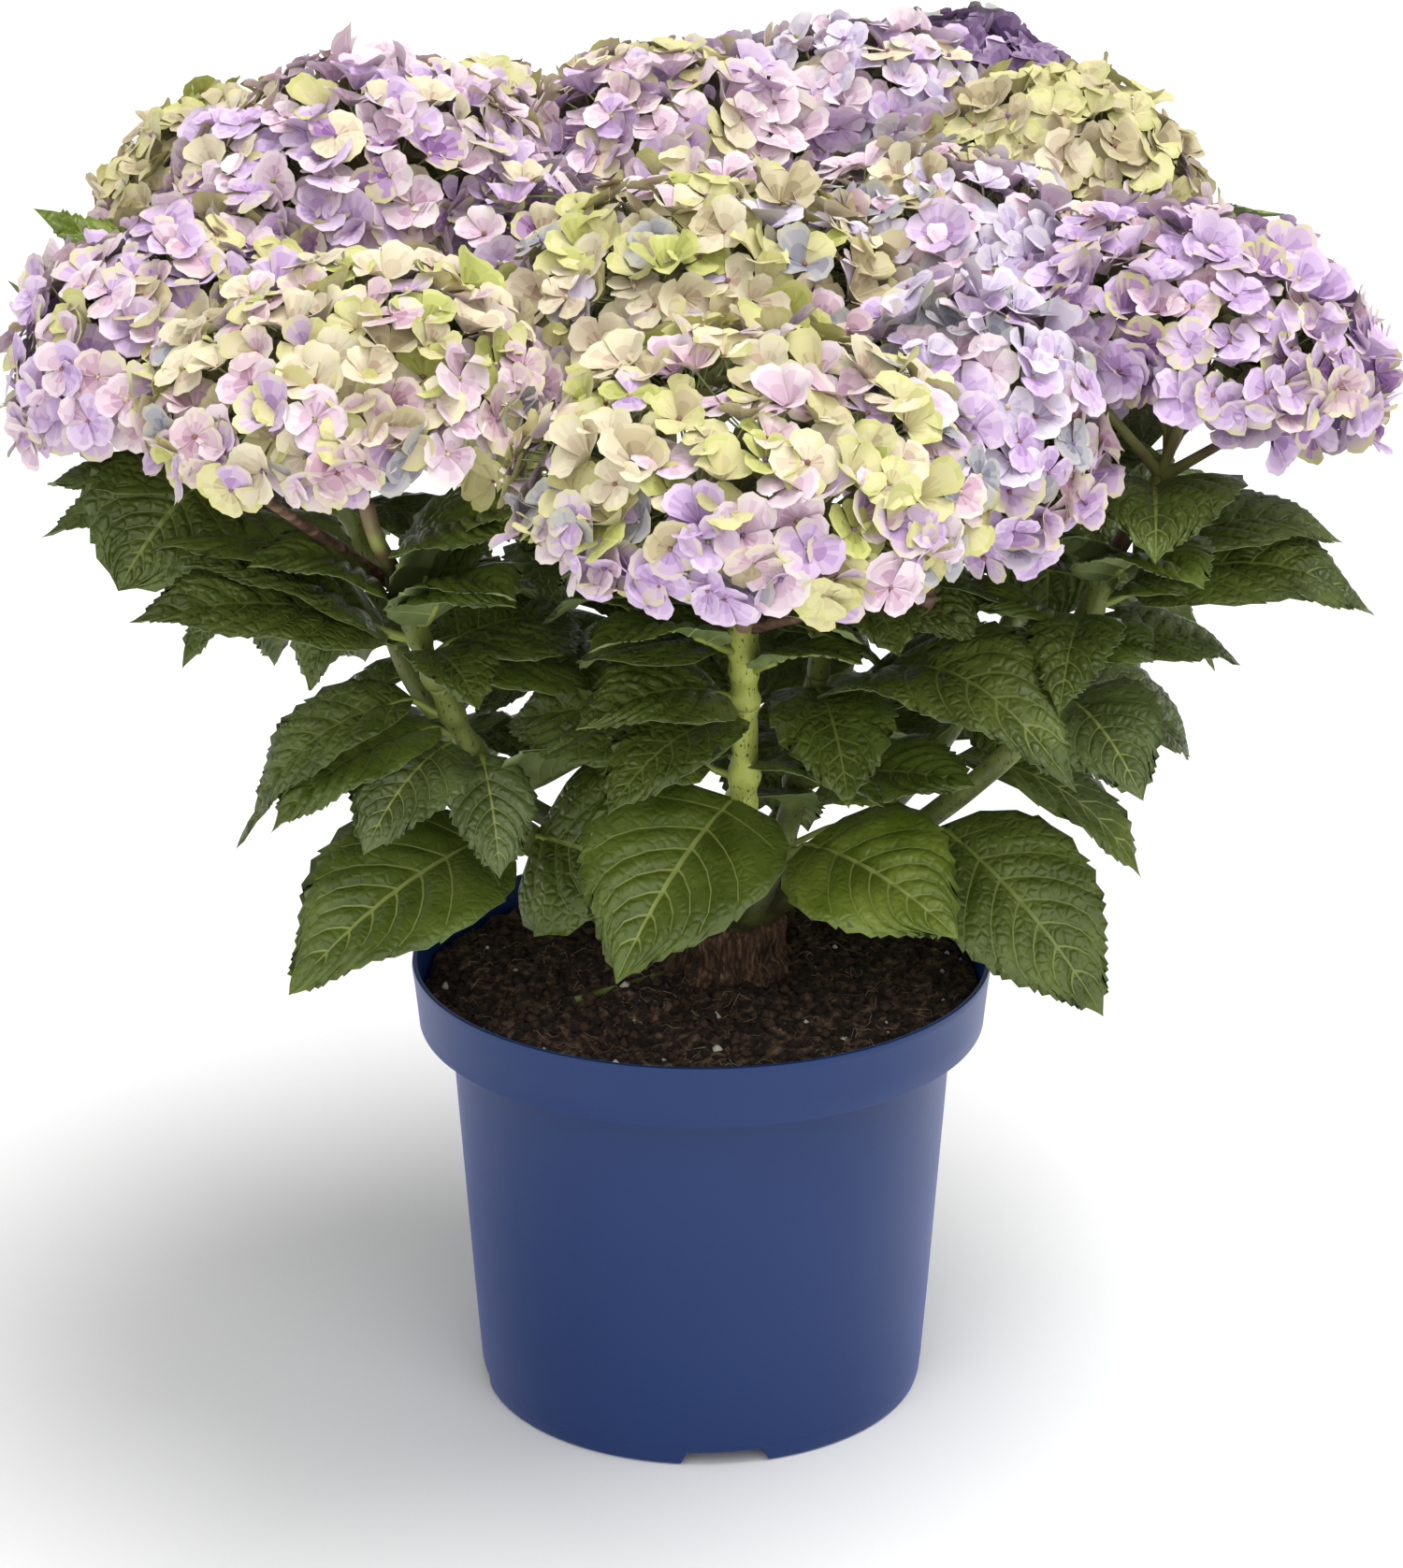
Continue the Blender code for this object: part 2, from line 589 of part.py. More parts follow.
def core_shape(name, limits):
    """The head's smaller core, with the neck and the foot of its stalk."""
    centre, turn, half_width, height = head_frame(name)
    flat = half_width - CORE_INSET
    rise = height - CORE_INSET
    profile = [(0, -height * FOOT_DROP_SHARE), (PEDUNCLE_RADIUS, -height * FOOT_DROP_SHARE)]
    profile.append((PEDUNCLE_RADIUS * NECK_SWELL, -height * NECK_DROP_SHARE))
    for polar in reversed(CORE_POLARS):
        point = dome_point(polar, 0, flat, rise)
        profile.append((point.x, point.z))
    profile.append((0, rise))
    points, faces = turned(profile, CORE_SIDES)
    stalk = 1 + 2 * CORE_SIDES
    placed = [centre + turn @ point for point in points]
    return placed[:stalk] + [pulled_inside(point, centre, limits) for point in placed[stalk:]], faces


def floret_shape(at, normal, spin, size):
    """A dished four-lobed floret on a three-sided stalk that runs down into the core."""
    side = normal.orthogonal().normalized()
    other = normal.cross(side)
    rim = []
    for lobe in range(FLORET_LOBES):
        middle = spin + 2 * math.pi * lobe / FLORET_LOBES
        rim.append((middle - FLORET_LOBE_HALF_ANGLE, 1, 0))
        rim.append((middle + FLORET_LOBE_HALF_ANGLE, 1, 0))
        rim.append((middle + math.pi / FLORET_LOBES, FLORET_NOTCH_SHARE, FLORET_DISH / 2))
    points = [at - normal * FLORET_DISH]
    for turn, share, drop in rim:
        flat = side * math.cos(turn) + other * math.sin(turn)
        points.append(at + flat * FLORET_RADIUS * size * share - normal * drop)
    for i in range(3):
        turn = spin + 2 * math.pi * i / 3
        flat = (side * math.cos(turn) + other * math.sin(turn)) * FLORET_STALK_RADIUS
        points.append(at + flat - normal * (FLORET_DISH + FLORET_THICKNESS))
    points.append(at - normal * FLORET_STALK_DEPTH)
    count = len(rim)
    ring = count + 1
    faces = [(0, 1 + i, 1 + (i + 1) % count) for i in range(count)]
    nearest = [round(3 * i / count) % 3 for i in range(count)]
    for i in range(count):
        after = (i + 1) % count
        faces.append((1 + after, 1 + i, ring + nearest[i]))
        if nearest[i] != nearest[after]:
            faces.append((1 + after, ring + nearest[i], ring + nearest[after]))
    faces += [(ring + (i + 1) % 3, ring + i, ring + 3) for i in range(3)]
    return points, faces


def florets(name, limits, chance):
    """The florets of a head on a golden-angle spiral, smaller or left out at the edge of its space."""
    centre, turn, half_width, height = head_frame(name)
    lowest = math.cos(HEAD_LOWEST_POLAR)
    count = round(math.pi * half_width * (half_width + height) * (1 - lowest) / FLORET_AREA)
    shapes = []
    for i in range(count):
        polar = math.acos(1 - (1 - lowest) * (i + 0.5) / count)
        local = dome_point(polar, i * GOLDEN_ANGLE, half_width, height)
        at = centre + turn @ local
        normal = turn @ dome_normal(local, half_width, height)
        spin = chance.uniform(0, math.pi / 2)
        for size in FLORET_SIZES:
            shape = floret_shape(at, normal, spin, size)
            if all(inside(point, limits) for point in shape[0]):
                shapes.append(shape)
                break
    return shapes


def largest_body(mesh):
    """Drops loose scraps and sealed hollows: only the faces of the largest closed body stay."""
    work = bmesh.new()
    work.from_mesh(mesh)
    bmesh.ops.triangulate(work, faces=work.faces)
    waiting = set(work.faces)
    bodies = []
    while waiting:
        body = set()
        edge = [waiting.pop()]
        while edge:
            face = edge.pop()
            body.add(face)
            near = {other for side in face.edges for other in side.link_faces} & waiting
            waiting -= near
            edge += near
        corners = [[vertex.co for vertex in face.verts] for face in body]
        volume = sum(a.dot(b.cross(c)) / 6 for a, b, c in corners)
        bodies.append((volume, body))
    keep = max(bodies, key=lambda pair: pair[0])[1]
    scraps = [face for face in work.faces if face not in keep]
    bmesh.ops.delete(work, geom=scraps, context="FACES")
    work.to_mesh(mesh)
    work.free()


def fuse(name, shapes, slot):
    """One solid from closed shapes, by one Boolean union on a collection, which is then removed."""
    base = add_object(name, shapes[0], slot)
    pieces = bpy.data.collections.new(name + " pieces")
    bpy.context.scene.collection.children.link(pieces)
    for number, shape in enumerate(shapes[1:]):
        add_object(f"{name} piece {number}", shape, slot, pieces)
    join = base.modifiers.new("Fuse", "BOOLEAN")
    join.operation = "UNION"
    join.operand_type = "COLLECTION"
    join.collection = pieces
    graph = bpy.context.evaluated_depsgraph_get()
    fused = bpy.data.meshes.new_from_object(base.evaluated_get(graph))
    base.modifiers.remove(join)
    for piece in list(pieces.objects):
        bpy.data.objects.remove(piece, do_unlink=True)
    bpy.data.collections.remove(pieces)
    largest_body(fused)
    fused.materials.clear()
    fused.materials.append(material(slot))
    fused.set_sharp_from_angle(angle=math.radians(38))
    base.data = fused
    return base


def build_cane(name):
    _, foot_radius, tip_radius, _ = CANES[name]
    path, first, last = cane_path(name)
    shape = tube(path, tapered(len(path), foot_radius, tip_radius), CANE_SIDES, first, last)
    return add_object(name, shape, "cane_bark")


def build_head(name, chance):
    limits = space_limits(name)
    shapes = [core_shape(name, limits), *florets(name, limits, chance)]
    return fuse(name, shapes, "floret_" + HEADS[name][4])


def arm_path(name):
    """The centreline of the arm that carries one head, from inside the fork to the head's stalk."""
    stem, _ = shoot_path(HEADS[name][0])
    direction = (stem[-1] - stem[-2]).normalized()
    centre, turn, _, height = head_frame(name)
    axis = turn @ Vector((0, 0, 1))
    foot = centre - axis * (height * FOOT_DROP_SHARE + GAP)
    start = stem[-1] - direction * ARM_BURY
    reach = (foot - start).length / 3
    return bezier_path(start, start + direction * reach, foot - axis * reach, foot, ARM_STEPS)


def arm_shape(name):
    """The arm that carries one head, ending square to the head's stalk, just clear of it."""
    path = arm_path(name)
    axis = head_frame(name)[1] @ Vector((0, 0, 1))
    return tube(path, tapered(len(path), ARM_FOOT_RADIUS, PEDUNCLE_RADIUS), ARM_SIDES, None, axis)


def blade_frame(base, tip, roll, arch):
    """The control point of a blade's arched midrib, and the direction across the blade."""
    chord = (tip - base).normalized()
    side = chord.cross(Vector((0, 0, 1))).normalized()
    side = Matrix.Rotation(roll, 3, chord) @ side
    return (base + tip) / 2 + side.cross(chord) * arch * (tip - base).length * 2, side


def blade_point(base, control, tip, along):
    return base * (1 - along) ** 2 + control * 2 * along * (1 - along) + tip * along**2


def blade_shape(base, tip, width, roll, arch):
    """A pointed, gently folded and arched blade, thickest along its midrib."""
    control, side = blade_frame(base, tip, roll, arch)
    thickness = BLADE_THICKNESS_SHARE * (tip - base).length
    points = [base]
    points += [blade_point(base, control, tip, along) for along, _ in BLADE_STATIONS]
    points.append(tip)
    last = len(points) - 1
    rows = [(0, 0, 0, 0)]
    for number, (along, share) in enumerate(BLADE_STATIONS):
        middle = points[1 + number]
        tangent = ((control - base) * (1 - along) + (tip - control) * along).normalized()
        normal = side.cross(tangent)
        half = width / 2 * share
        start = len(points)
        rows.append((start, 1 + number, start + 1, start + 2))
        for way in (-1, 1):
            flat = side * way * math.cos(BLADE_FOLD)
            points.append(middle + (flat + normal * math.sin(BLADE_FOLD)) * half)
        points.append(middle - normal * thickness)
    rows.append((last, last, last, last))
    faces = []
    for low, high in zip(rows, rows[1:]):
        for a, b in ((0, 1), (1, 2), (2, 3), (3, 0)):
            faces.append(list(dict.fromkeys((low[a], low[b], high[b], high[a]))))
    return points, faces


def leaf_places():
    """Every leaf as a row like those of LEAVES: first those, then the pairs by rule."""
    places = []
    for limb, height, tip, stalk, width, roll, arch in LEAVES:
        places.append((limb, height, Vector(tip), stalk, width, math.radians(roll), arch))
    chance = random.Random(SEED)
    for cane in PAIRED_CANES:
        out = facet_azimuth(CANES[cane][0])
        for number, height in enumerate(PAIR_HEIGHTS):
            height += PAIR_STAGGER[CANES[cane][0] % 2]
            node = limb_point(cane, height)
            for way in (-1, 1):
                azimuth = out + way * PAIR_SPREADS[number] + chance.uniform(-PAIR_JITTER, PAIR_JITTER)
                reach = PAIR_REACH[number] * chance.uniform(1 - PAIR_JITTER, 1 + PAIR_JITTER)
                fall = PAIR_FALL[number] + way * chance.uniform(0, PAIR_JITTER) * reach
                tip = node + Vector((math.cos(azimuth) * reach, math.sin(azimuth) * reach, -fall))
                width = (reach - PAIR_STALK) * PAIR_WIDTH_SHARE
                if (cane, number, way) not in PAIR_GAPS:
                    places.append((cane, height, tip, PAIR_STALK, width, 0, PAIR_ARCH))
    return places


def cane_of(limb):
    return HEADS[limb][0] if limb in HEADS else limb


def limb_point(limb, height):
    """The centreline's point at a height, on a cane, on the shoot above it or on a head's arm."""
    if limb in HEADS:
        return point_at_height(arm_path(limb), height)
    path = cane_path(limb)[0]
    if height > path[-1].z:
        path = shoot_path(limb)[0]
    return point_at_height(path, height)


def leaf_shapes(place, start, first_direction):
    """The stalk and blade of one leaf, whose stalk begins at the start point and ends inside the blade."""
    _, _, tip, stalk, width, roll, arch = place
    flat = Vector((tip.x - start.x, tip.y - start.y, 0)).normalized()
    rise = Vector((0, 0, math.sin(LEAF_STALK_RISE)))
    base = start + (flat * math.cos(LEAF_STALK_RISE) + rise) * stalk
    control, _ = blade_frame(base, tip, roll, arch)
    along = (control - base).normalized()
    into = blade_point(base, control, tip, LEAF_STALK_BURY_SHARE)
    into -= Vector((0, 0, BLADE_THICKNESS_SHARE * (tip - base).length / 2))
    bend = stalk * LEAF_STALK_BEND
    path = bezier_path(start, start + first_direction * bend, base - along * bend, base, LEAF_STALK_STEPS)
    radii = tapered(len(path) + 1, LEAF_STALK_RADIUS, LEAF_STALK_RADIUS * LEAF_STALK_TAPER)
    shape = tube([*path, into], radii, LEAF_STALK_SIDES, first_direction)
    return [shape, blade_shape(base, tip, width, roll, arch)]


def tree_of(thing):
    work = bmesh.new()
    work.from_mesh(thing.data)
    tree = BVHTree.FromBMesh(work)
    work.free()
    return tree


def tree_of_shape(shape):
    return BVHTree.FromPolygons([tuple(point) for point in shape[0]], shape[1])


def touches(shape, placed, fused_to=None):
    """Whether a shape meets any placed piece apart from the one that it is fused to."""
    tree = tree_of_shape(shape)
    return any(name != fused_to and tree.overlap(other) for name, other in placed)


def cane_seat(tree, node, tip):
    """The place on a cane's side that faces a leaf's tip, just clear of it, and the side's direction."""
    flat = Vector((tip.x - node.x, tip.y - node.y, 0)).normalized()
    far = node + flat * 0.05
    hit, normal, _, _ = tree.ray_cast(far, -flat)
    return hit + normal * GAP, normal


def build_leaves(trees, placed):
    """Low leaves as nodes of their own, and for each cane the leaf shapes that its shoot takes.

    A leaf that would touch a piece already in place is left out.
    """
    on_shoots = {cane: [] for cane in CANES}
    number = 0
    for place in leaf_places():
        limb, height, tip = place[:3]
        cane = cane_of(limb)
        node = limb_point(limb, height)
        shoot = cane.replace("cane", "shoot")
        on_shoot = height > cane_path(cane)[0][-1].z
        if on_shoot:
            start, first = node, (tip - node).normalized()
        else:
            start, first = cane_seat(trees[cane], node, tip)
        stalk, blade = leaf_shapes(place, start, first)
        if touches(stalk, placed, shoot if on_shoot else None) or touches(blade, placed):
            continue
        if on_shoot:
            on_shoots[cane] += [stalk, blade]
            placed.append((shoot, tree_of_shape(stalk)))
            placed.append((shoot + " blade", tree_of_shape(blade)))
            continue
        number += 1
        leaf = fuse(f"low_leaf_{number:02d}", [stalk, blade], "leaf_green")
        placed.append((leaf.name, tree_of(leaf)))
    return on_shoots


def shoot_shapes(cane):
    """The stem of one cane's shoot and an arm to each head that the cane carries."""
    path, direction = shoot_path(cane)
    radius = CANES[cane][2]
    stem = tube(path, tapered(len(path), radius, radius * SHOOT_TAPER), SHOOT_SIDES, direction)
    return [stem, *(arm_shape(name) for name, row in HEADS.items() if row[0] == cane)]


def build_shoot(cane, leaves):
    """The leafy shoot on one cane, fused from its stem, its arms and its leaves."""
    return fuse(cane.replace("cane", "shoot"), [*shoot_shapes(cane), *leaves], "leaf_green")


def build_sprout():
    """The thin sprout that lies on the soil."""
    points = [Vector(point) for point in SPROUT]
    path = smooth_path(points, (points[1] - points[0]).normalized(), SPROUT_STEPS)
    radii = tapered(len(path), SPROUT_RADIUS, SPROUT_RADIUS * SPROUT_TAPER)
    return add_object("soil_sprout", tube(path, radii, SPROUT_SIDES), "cane_bark")


def main():
    clear_scene()
    chance = random.Random(SEED)
    build_pot()
    build_soil()
    build_stump()
    build_sprout()
    canes = {name: build_cane(name) for name in CANES}
    trees = {name: tree_of(cane) for name, cane in canes.items()}
    heads = [build_head(name, chance) for name in HEADS]
    still = [*heads, bpy.data.objects["soil"], bpy.data.objects["pot"], *canes.values()]
    placed = [(thing.name, tree_of(thing)) for thing in still]
    for cane in CANES:
        placed += [(cane.replace("cane", "shoot"), tree_of_shape(shape)) for shape in shoot_shapes(cane)]
    on_shoots = build_leaves(trees, placed)
    for cane in CANES:
        build_shoot(cane, on_shoots[cane])


main()
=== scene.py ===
"""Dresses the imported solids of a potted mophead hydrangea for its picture.

Everything is in metres in the frame of the solids: +Z up, the origin under the middle of the pot,
and -Y to the front. The limbs, leaves and flower heads grow by the same tables and rules as the
solids, carried on to finer leaves, flower stalks and single flowers.
"""

import json
import math
import random

import bpy
import numpy as np
from bpy.props import FloatProperty, FloatVectorProperty, IntProperty, PointerProperty
from mathutils import Matrix, Vector, noise
from mathutils.bvhtree import BVHTree

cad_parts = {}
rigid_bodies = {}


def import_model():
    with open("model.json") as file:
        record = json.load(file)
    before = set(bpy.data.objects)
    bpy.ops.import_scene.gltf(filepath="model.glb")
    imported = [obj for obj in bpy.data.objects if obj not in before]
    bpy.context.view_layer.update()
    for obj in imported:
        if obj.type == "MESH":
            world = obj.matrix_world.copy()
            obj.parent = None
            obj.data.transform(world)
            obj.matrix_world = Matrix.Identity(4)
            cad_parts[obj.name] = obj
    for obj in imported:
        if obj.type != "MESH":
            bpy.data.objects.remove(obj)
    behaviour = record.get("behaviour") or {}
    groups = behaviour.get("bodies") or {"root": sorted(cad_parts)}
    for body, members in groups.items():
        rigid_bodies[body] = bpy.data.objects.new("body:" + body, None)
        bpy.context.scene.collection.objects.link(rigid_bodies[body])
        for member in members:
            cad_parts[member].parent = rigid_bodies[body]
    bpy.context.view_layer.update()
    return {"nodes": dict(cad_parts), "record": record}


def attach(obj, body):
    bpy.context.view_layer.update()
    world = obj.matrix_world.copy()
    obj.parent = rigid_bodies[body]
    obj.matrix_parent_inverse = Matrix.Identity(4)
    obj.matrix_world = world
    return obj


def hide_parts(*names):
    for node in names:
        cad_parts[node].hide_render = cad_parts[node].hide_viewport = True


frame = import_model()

bl_info = {
    "name": "Potted Hydrangea Dresser",
    "version": (1, 0, 0),
    "blender": (4, 5, 0),
    "location": "View3D > Sidebar > Hydrangea",
    "description": "Adds fine flowers, leaves, stems, soil and pot to the solids of a potted hydrangea",
    "category": "Object",
}

# Fits
GAP = 0.0003
SEED = 7

# Pot
POT_HEIGHT = 0.205
RIM_RADIUS = 0.130
COLLAR_RADIUS = 0.1272
COLLAR_HEIGHT = 0.027
BODY_TOP_RADIUS = 0.1130
FOOT_RADIUS = 0.1010
WALL = 0.0020
RIM_WALL = 0.0026
PAD_RADIUS = 0.050
PAD_SLOPE = 0.0035
GUTTER_OUTER_RADIUS = 0.090
GUTTER_HEIGHT = 0.0090
DRAIN_HOLES = 8
DRAIN_HOLE_RADIUS = 0.0060
FOOT_NOTCHES = 4
FOOT_NOTCH_WIDTH = 0.040
FOOT_NOTCH_HEIGHT = 0.0070
FOOT_NOTCH_DEPTH = 0.030
FOOT_NOTCH_DRAFT = 0.0030
FOOT_NOTCH_AZIMUTH = math.radians(-84)

# Soil
SOIL_EDGE_HEIGHT = 0.1865
SOIL_CROWN_HEIGHT = 0.1925
SOIL_RINGS = 74
SOIL_SEGMENTS = 190
SOIL_SKIRT = 0.006
PERLITE_EVERY = 70

# Stump
STUMP_CENTRE = Vector((0.012, 0.014, 0.0))
STUMP_FLARE_RADIUS = 0.034
STUMP_WAIST_RADIUS = 0.0245
STUMP_SHOULDER_RADIUS = 0.0265
STUMP_TOP_RADIUS = 0.0135
STUMP_WAIST_RISE = 0.010
STUMP_SHOULDER_RISE = 0.022
STUMP_TOP_RISE = 0.038
STUMP_FACETS = 8
FIRST_FACET_AZIMUTH = math.radians(20)

# Canes: facet number, foot radius, tip radius, then the points that the cane passes through
CANES = {
    "cane_right_back": (
        0, 0.0056, 0.0047, ((0.088, 0.045, 0.262), (0.128, 0.068, 0.312), (0.146, 0.080, 0.348)),
    ),
    "cane_back_right": (
        1, 0.0058, 0.0048, ((0.052, 0.084, 0.268), (0.070, 0.118, 0.318), (0.078, 0.132, 0.352)),
    ),
    "cane_back": (
        2, 0.0056, 0.0047, ((-0.018, 0.088, 0.268), (-0.034, 0.128, 0.320), (-0.040, 0.142, 0.354)),
    ),
    "cane_left_back": (
        3, 0.0054, 0.0046, ((-0.084, 0.046, 0.262), (-0.126, 0.055, 0.308), (-0.142, 0.060, 0.342)),
    ),
    "cane_left": (
        4, 0.0056, 0.0046, ((-0.074, -0.016, 0.264), (-0.100, -0.042, 0.318), (-0.112, -0.058, 0.352)),
    ),
    "cane_front": (
        5, 0.0063, 0.0056, ((0.012, -0.046, 0.268), (0.018, -0.066, 0.311), (0.018, -0.078, 0.350)),
    ),
    "cane_front_right": (
        6, 0.0060, 0.0050, ((0.037, -0.018, 0.270), (0.045, -0.030, 0.315), (0.050, -0.040, 0.350)),
    ),
    "cane_right": (
        7, 0.0060, 0.0050, ((0.088, -0.005, 0.262), (0.136, -0.018, 0.308), (0.156, -0.028, 0.346)),
    ),
}
CANE_STRAIGHT = 0.020
SHOOT_STRAIGHT = 0.012
SHOOT_TAPER = 0.9
FORKS = {
    "cane_right_back": (0.158, 0.098, 0.396),
    "cane_back_right": (0.084, 0.148, 0.402),
    "cane_back": (-0.042, 0.156, 0.400),
    "cane_left_back": (-0.160, 0.072, 0.396),
    "cane_left": (-0.126, -0.082, 0.406),
    "cane_front": (0.017, -0.092, 0.396),
    "cane_front_right": (0.062, -0.056, 0.396),
    "cane_right": (0.172, -0.038, 0.398),
}
ARM_FOOT_RADIUS = 0.0040
ARM_BURY = 0.012

# Flower heads: cane, centre of the dome's widest ring, half width, height of the dome
HEADS = {
    "head_front": ("cane_front", (0.018, -0.190, 0.477), 0.098, 0.062),
    "head_front_left": ("cane_left", (-0.142, -0.135, 0.497), 0.085, 0.057),
    "head_middle": ("cane_front", (0.000, -0.050, 0.508), 0.090, 0.068),
    "head_left": ("cane_left", (-0.218, -0.030, 0.482), 0.078, 0.070),
    "head_upper_left": ("cane_left_back", (-0.150, 0.050, 0.535), 0.088, 0.068),
    "head_top_middle": ("cane_back", (-0.010, 0.115, 0.538), 0.080, 0.060),
    "head_top_right": ("cane_back_right", (0.068, 0.150, 0.551), 0.072, 0.052),
    "head_violet": ("cane_back_right", (0.124, 0.225, 0.545), 0.058, 0.046),
    "head_lime": ("cane_right_back", (0.158, 0.110, 0.532), 0.071, 0.056),
    "head_middle_right": ("cane_front_right", (0.103, 0.020, 0.514), 0.078, 0.056),
    "head_right": ("cane_right", (0.207, -0.045, 0.495), 0.084, 0.062),
    "head_front_right": ("cane_front_right", (0.100, -0.108, 0.466), 0.070, 0.078),
    "head_left_back": ("cane_left_back", (-0.210, 0.130, 0.520), 0.068, 0.054),
    "head_back_left": ("cane_back", (-0.110, 0.200, 0.512), 0.082, 0.060),
    "head_back": ("cane_back", (0.015, 0.240, 0.510), 0.080, 0.060),
    "head_back_right": ("cane_right_back", (0.178, 0.205, 0.488), 0.066, 0.052),
}
HEAD_LEAN_PER_METRE = math.radians(62)
HEAD_LOWEST_POLAR = math.radians(106)
HEAD_UNDERSIDE_SHARE = 0.42
HEAD_SPACE_GAP = 0.0030
FOOT_DROP_SHARE = 0.78
PEDUNCLE_RADIUS = 0.0040
GOLDEN_ANGLE = math.pi * (3 - math.sqrt(5))

# Leaves: limb, height of the leaf's node on it, tip, leaf stalk, blade width, roll in degrees, arch, tone
LEAVES = (
    ("cane_left", 0.262, (-0.176, -0.100, 0.226), 0.026, 0.088, -22, 0.10, "mid"),
    ("cane_left", 0.268, (-0.022, -0.064, 0.268), 0.004, 0.084, 52, 0.06, "deep"),
    ("cane_left", 0.318, (-0.142, -0.106, 0.292), 0.014, 0.050, -10, 0.12, "grey"),
    ("cane_left", 0.312, (-0.086, -0.082, 0.272), 0.010, 0.038, 0, 0.10, "grey"),
    ("cane_left", 0.336, (-0.192, -0.062, 0.292), 0.018, 0.046, -20, 0.16, "deep"),
    ("cane_left", 0.356, (-0.045, -0.030, 0.342), 0.014, 0.060, 20, 0.12, "mid"),
    ("cane_left", 0.384, (-0.074, -0.150, 0.418), 0.016, 0.056, 10, 0.16, "mid"),
    ("cane_left", 0.376, (-0.234, -0.122, 0.400), 0.022, 0.066, -22, 0.10, "deep"),
    ("head_front_left", 0.424, (-0.066, -0.158, 0.446), 0.014, 0.046, 15, 0.14, "mid"),
    ("cane_front", 0.300, (-0.036, -0.135, 0.246), 0.006, 0.092, -16, 0.10, "mid"),
    ("cane_front", 0.314, (-0.046, -0.064, 0.330), 0.012, 0.050, -20, 0.12, "deep"),
    ("cane_front", 0.352, (-0.052, -0.118, 0.352), 0.012, 0.062, -20, 0.14, "deep"),
    ("cane_front", 0.376, (-0.046, -0.150, 0.396), 0.020, 0.046, 8, 0.12, "mid"),
    ("cane_front", 0.366, (0.066, -0.128, 0.384), 0.012, 0.040, 0, 0.10, "mid"),
    ("cane_front", 0.384, (-0.062, -0.050, 0.392), 0.012, 0.052, -10, 0.12, "deep"),
    ("cane_front_right", 0.262, (0.110, -0.088, 0.247), 0.016, 0.074, 22, 0.10, "fresh"),
    ("cane_front_right", 0.296, (0.116, -0.086, 0.316), 0.016, 0.054, 20, 0.06, "mid"),
    ("cane_front_right", 0.338, (0.153, -0.150, 0.336), 0.016, 0.070, 10, 0.24, "deep"),
    ("cane_front_right", 0.366, (-0.010, 0.020, 0.380), 0.012, 0.054, 0, 0.12, "deep"),
    ("cane_right", 0.262, (0.174, -0.076, 0.206), 0.022, 0.072, 30, 0.12, "deep"),
    ("cane_right", 0.334, (0.186, -0.094, 0.312), 0.012, 0.056, 15, 0.14, "grey"),
    ("cane_right", 0.326, (0.218, 0.016, 0.292), 0.014, 0.062, 20, 0.14, "deep"),
    ("cane_right", 0.354, (0.236, -0.004, 0.342), 0.012, 0.046, 20, 0.16, "deep"),
    ("cane_right", 0.380, (0.288, -0.038, 0.376), 0.022, 0.068, 22, 0.20, "deep"),
    ("cane_right", 0.372, (0.146, -0.132, 0.362), 0.014, 0.040, 0, 0.14, "deep"),
    ("cane_right", 0.392, (0.204, -0.128, 0.416), 0.012, 0.056, 10, 0.12, "mid"),
    ("cane_left_back", 0.390, (-0.288, 0.004, 0.398), 0.030, 0.056, -20, 0.10, "mid"),
    ("head_lime", 0.462, (0.262, 0.136, 0.500), 0.020, 0.040, 0, 0.08, "mid"),
    ("head_left_back", 0.440, (-0.306, 0.066, 0.498), 0.018, 0.036, 0, -0.10, "mid"),
    ("head_upper_left", 0.436, (-0.064, 0.012, 0.440), 0.014, 0.060, 20, 0.06, "deep"),
)

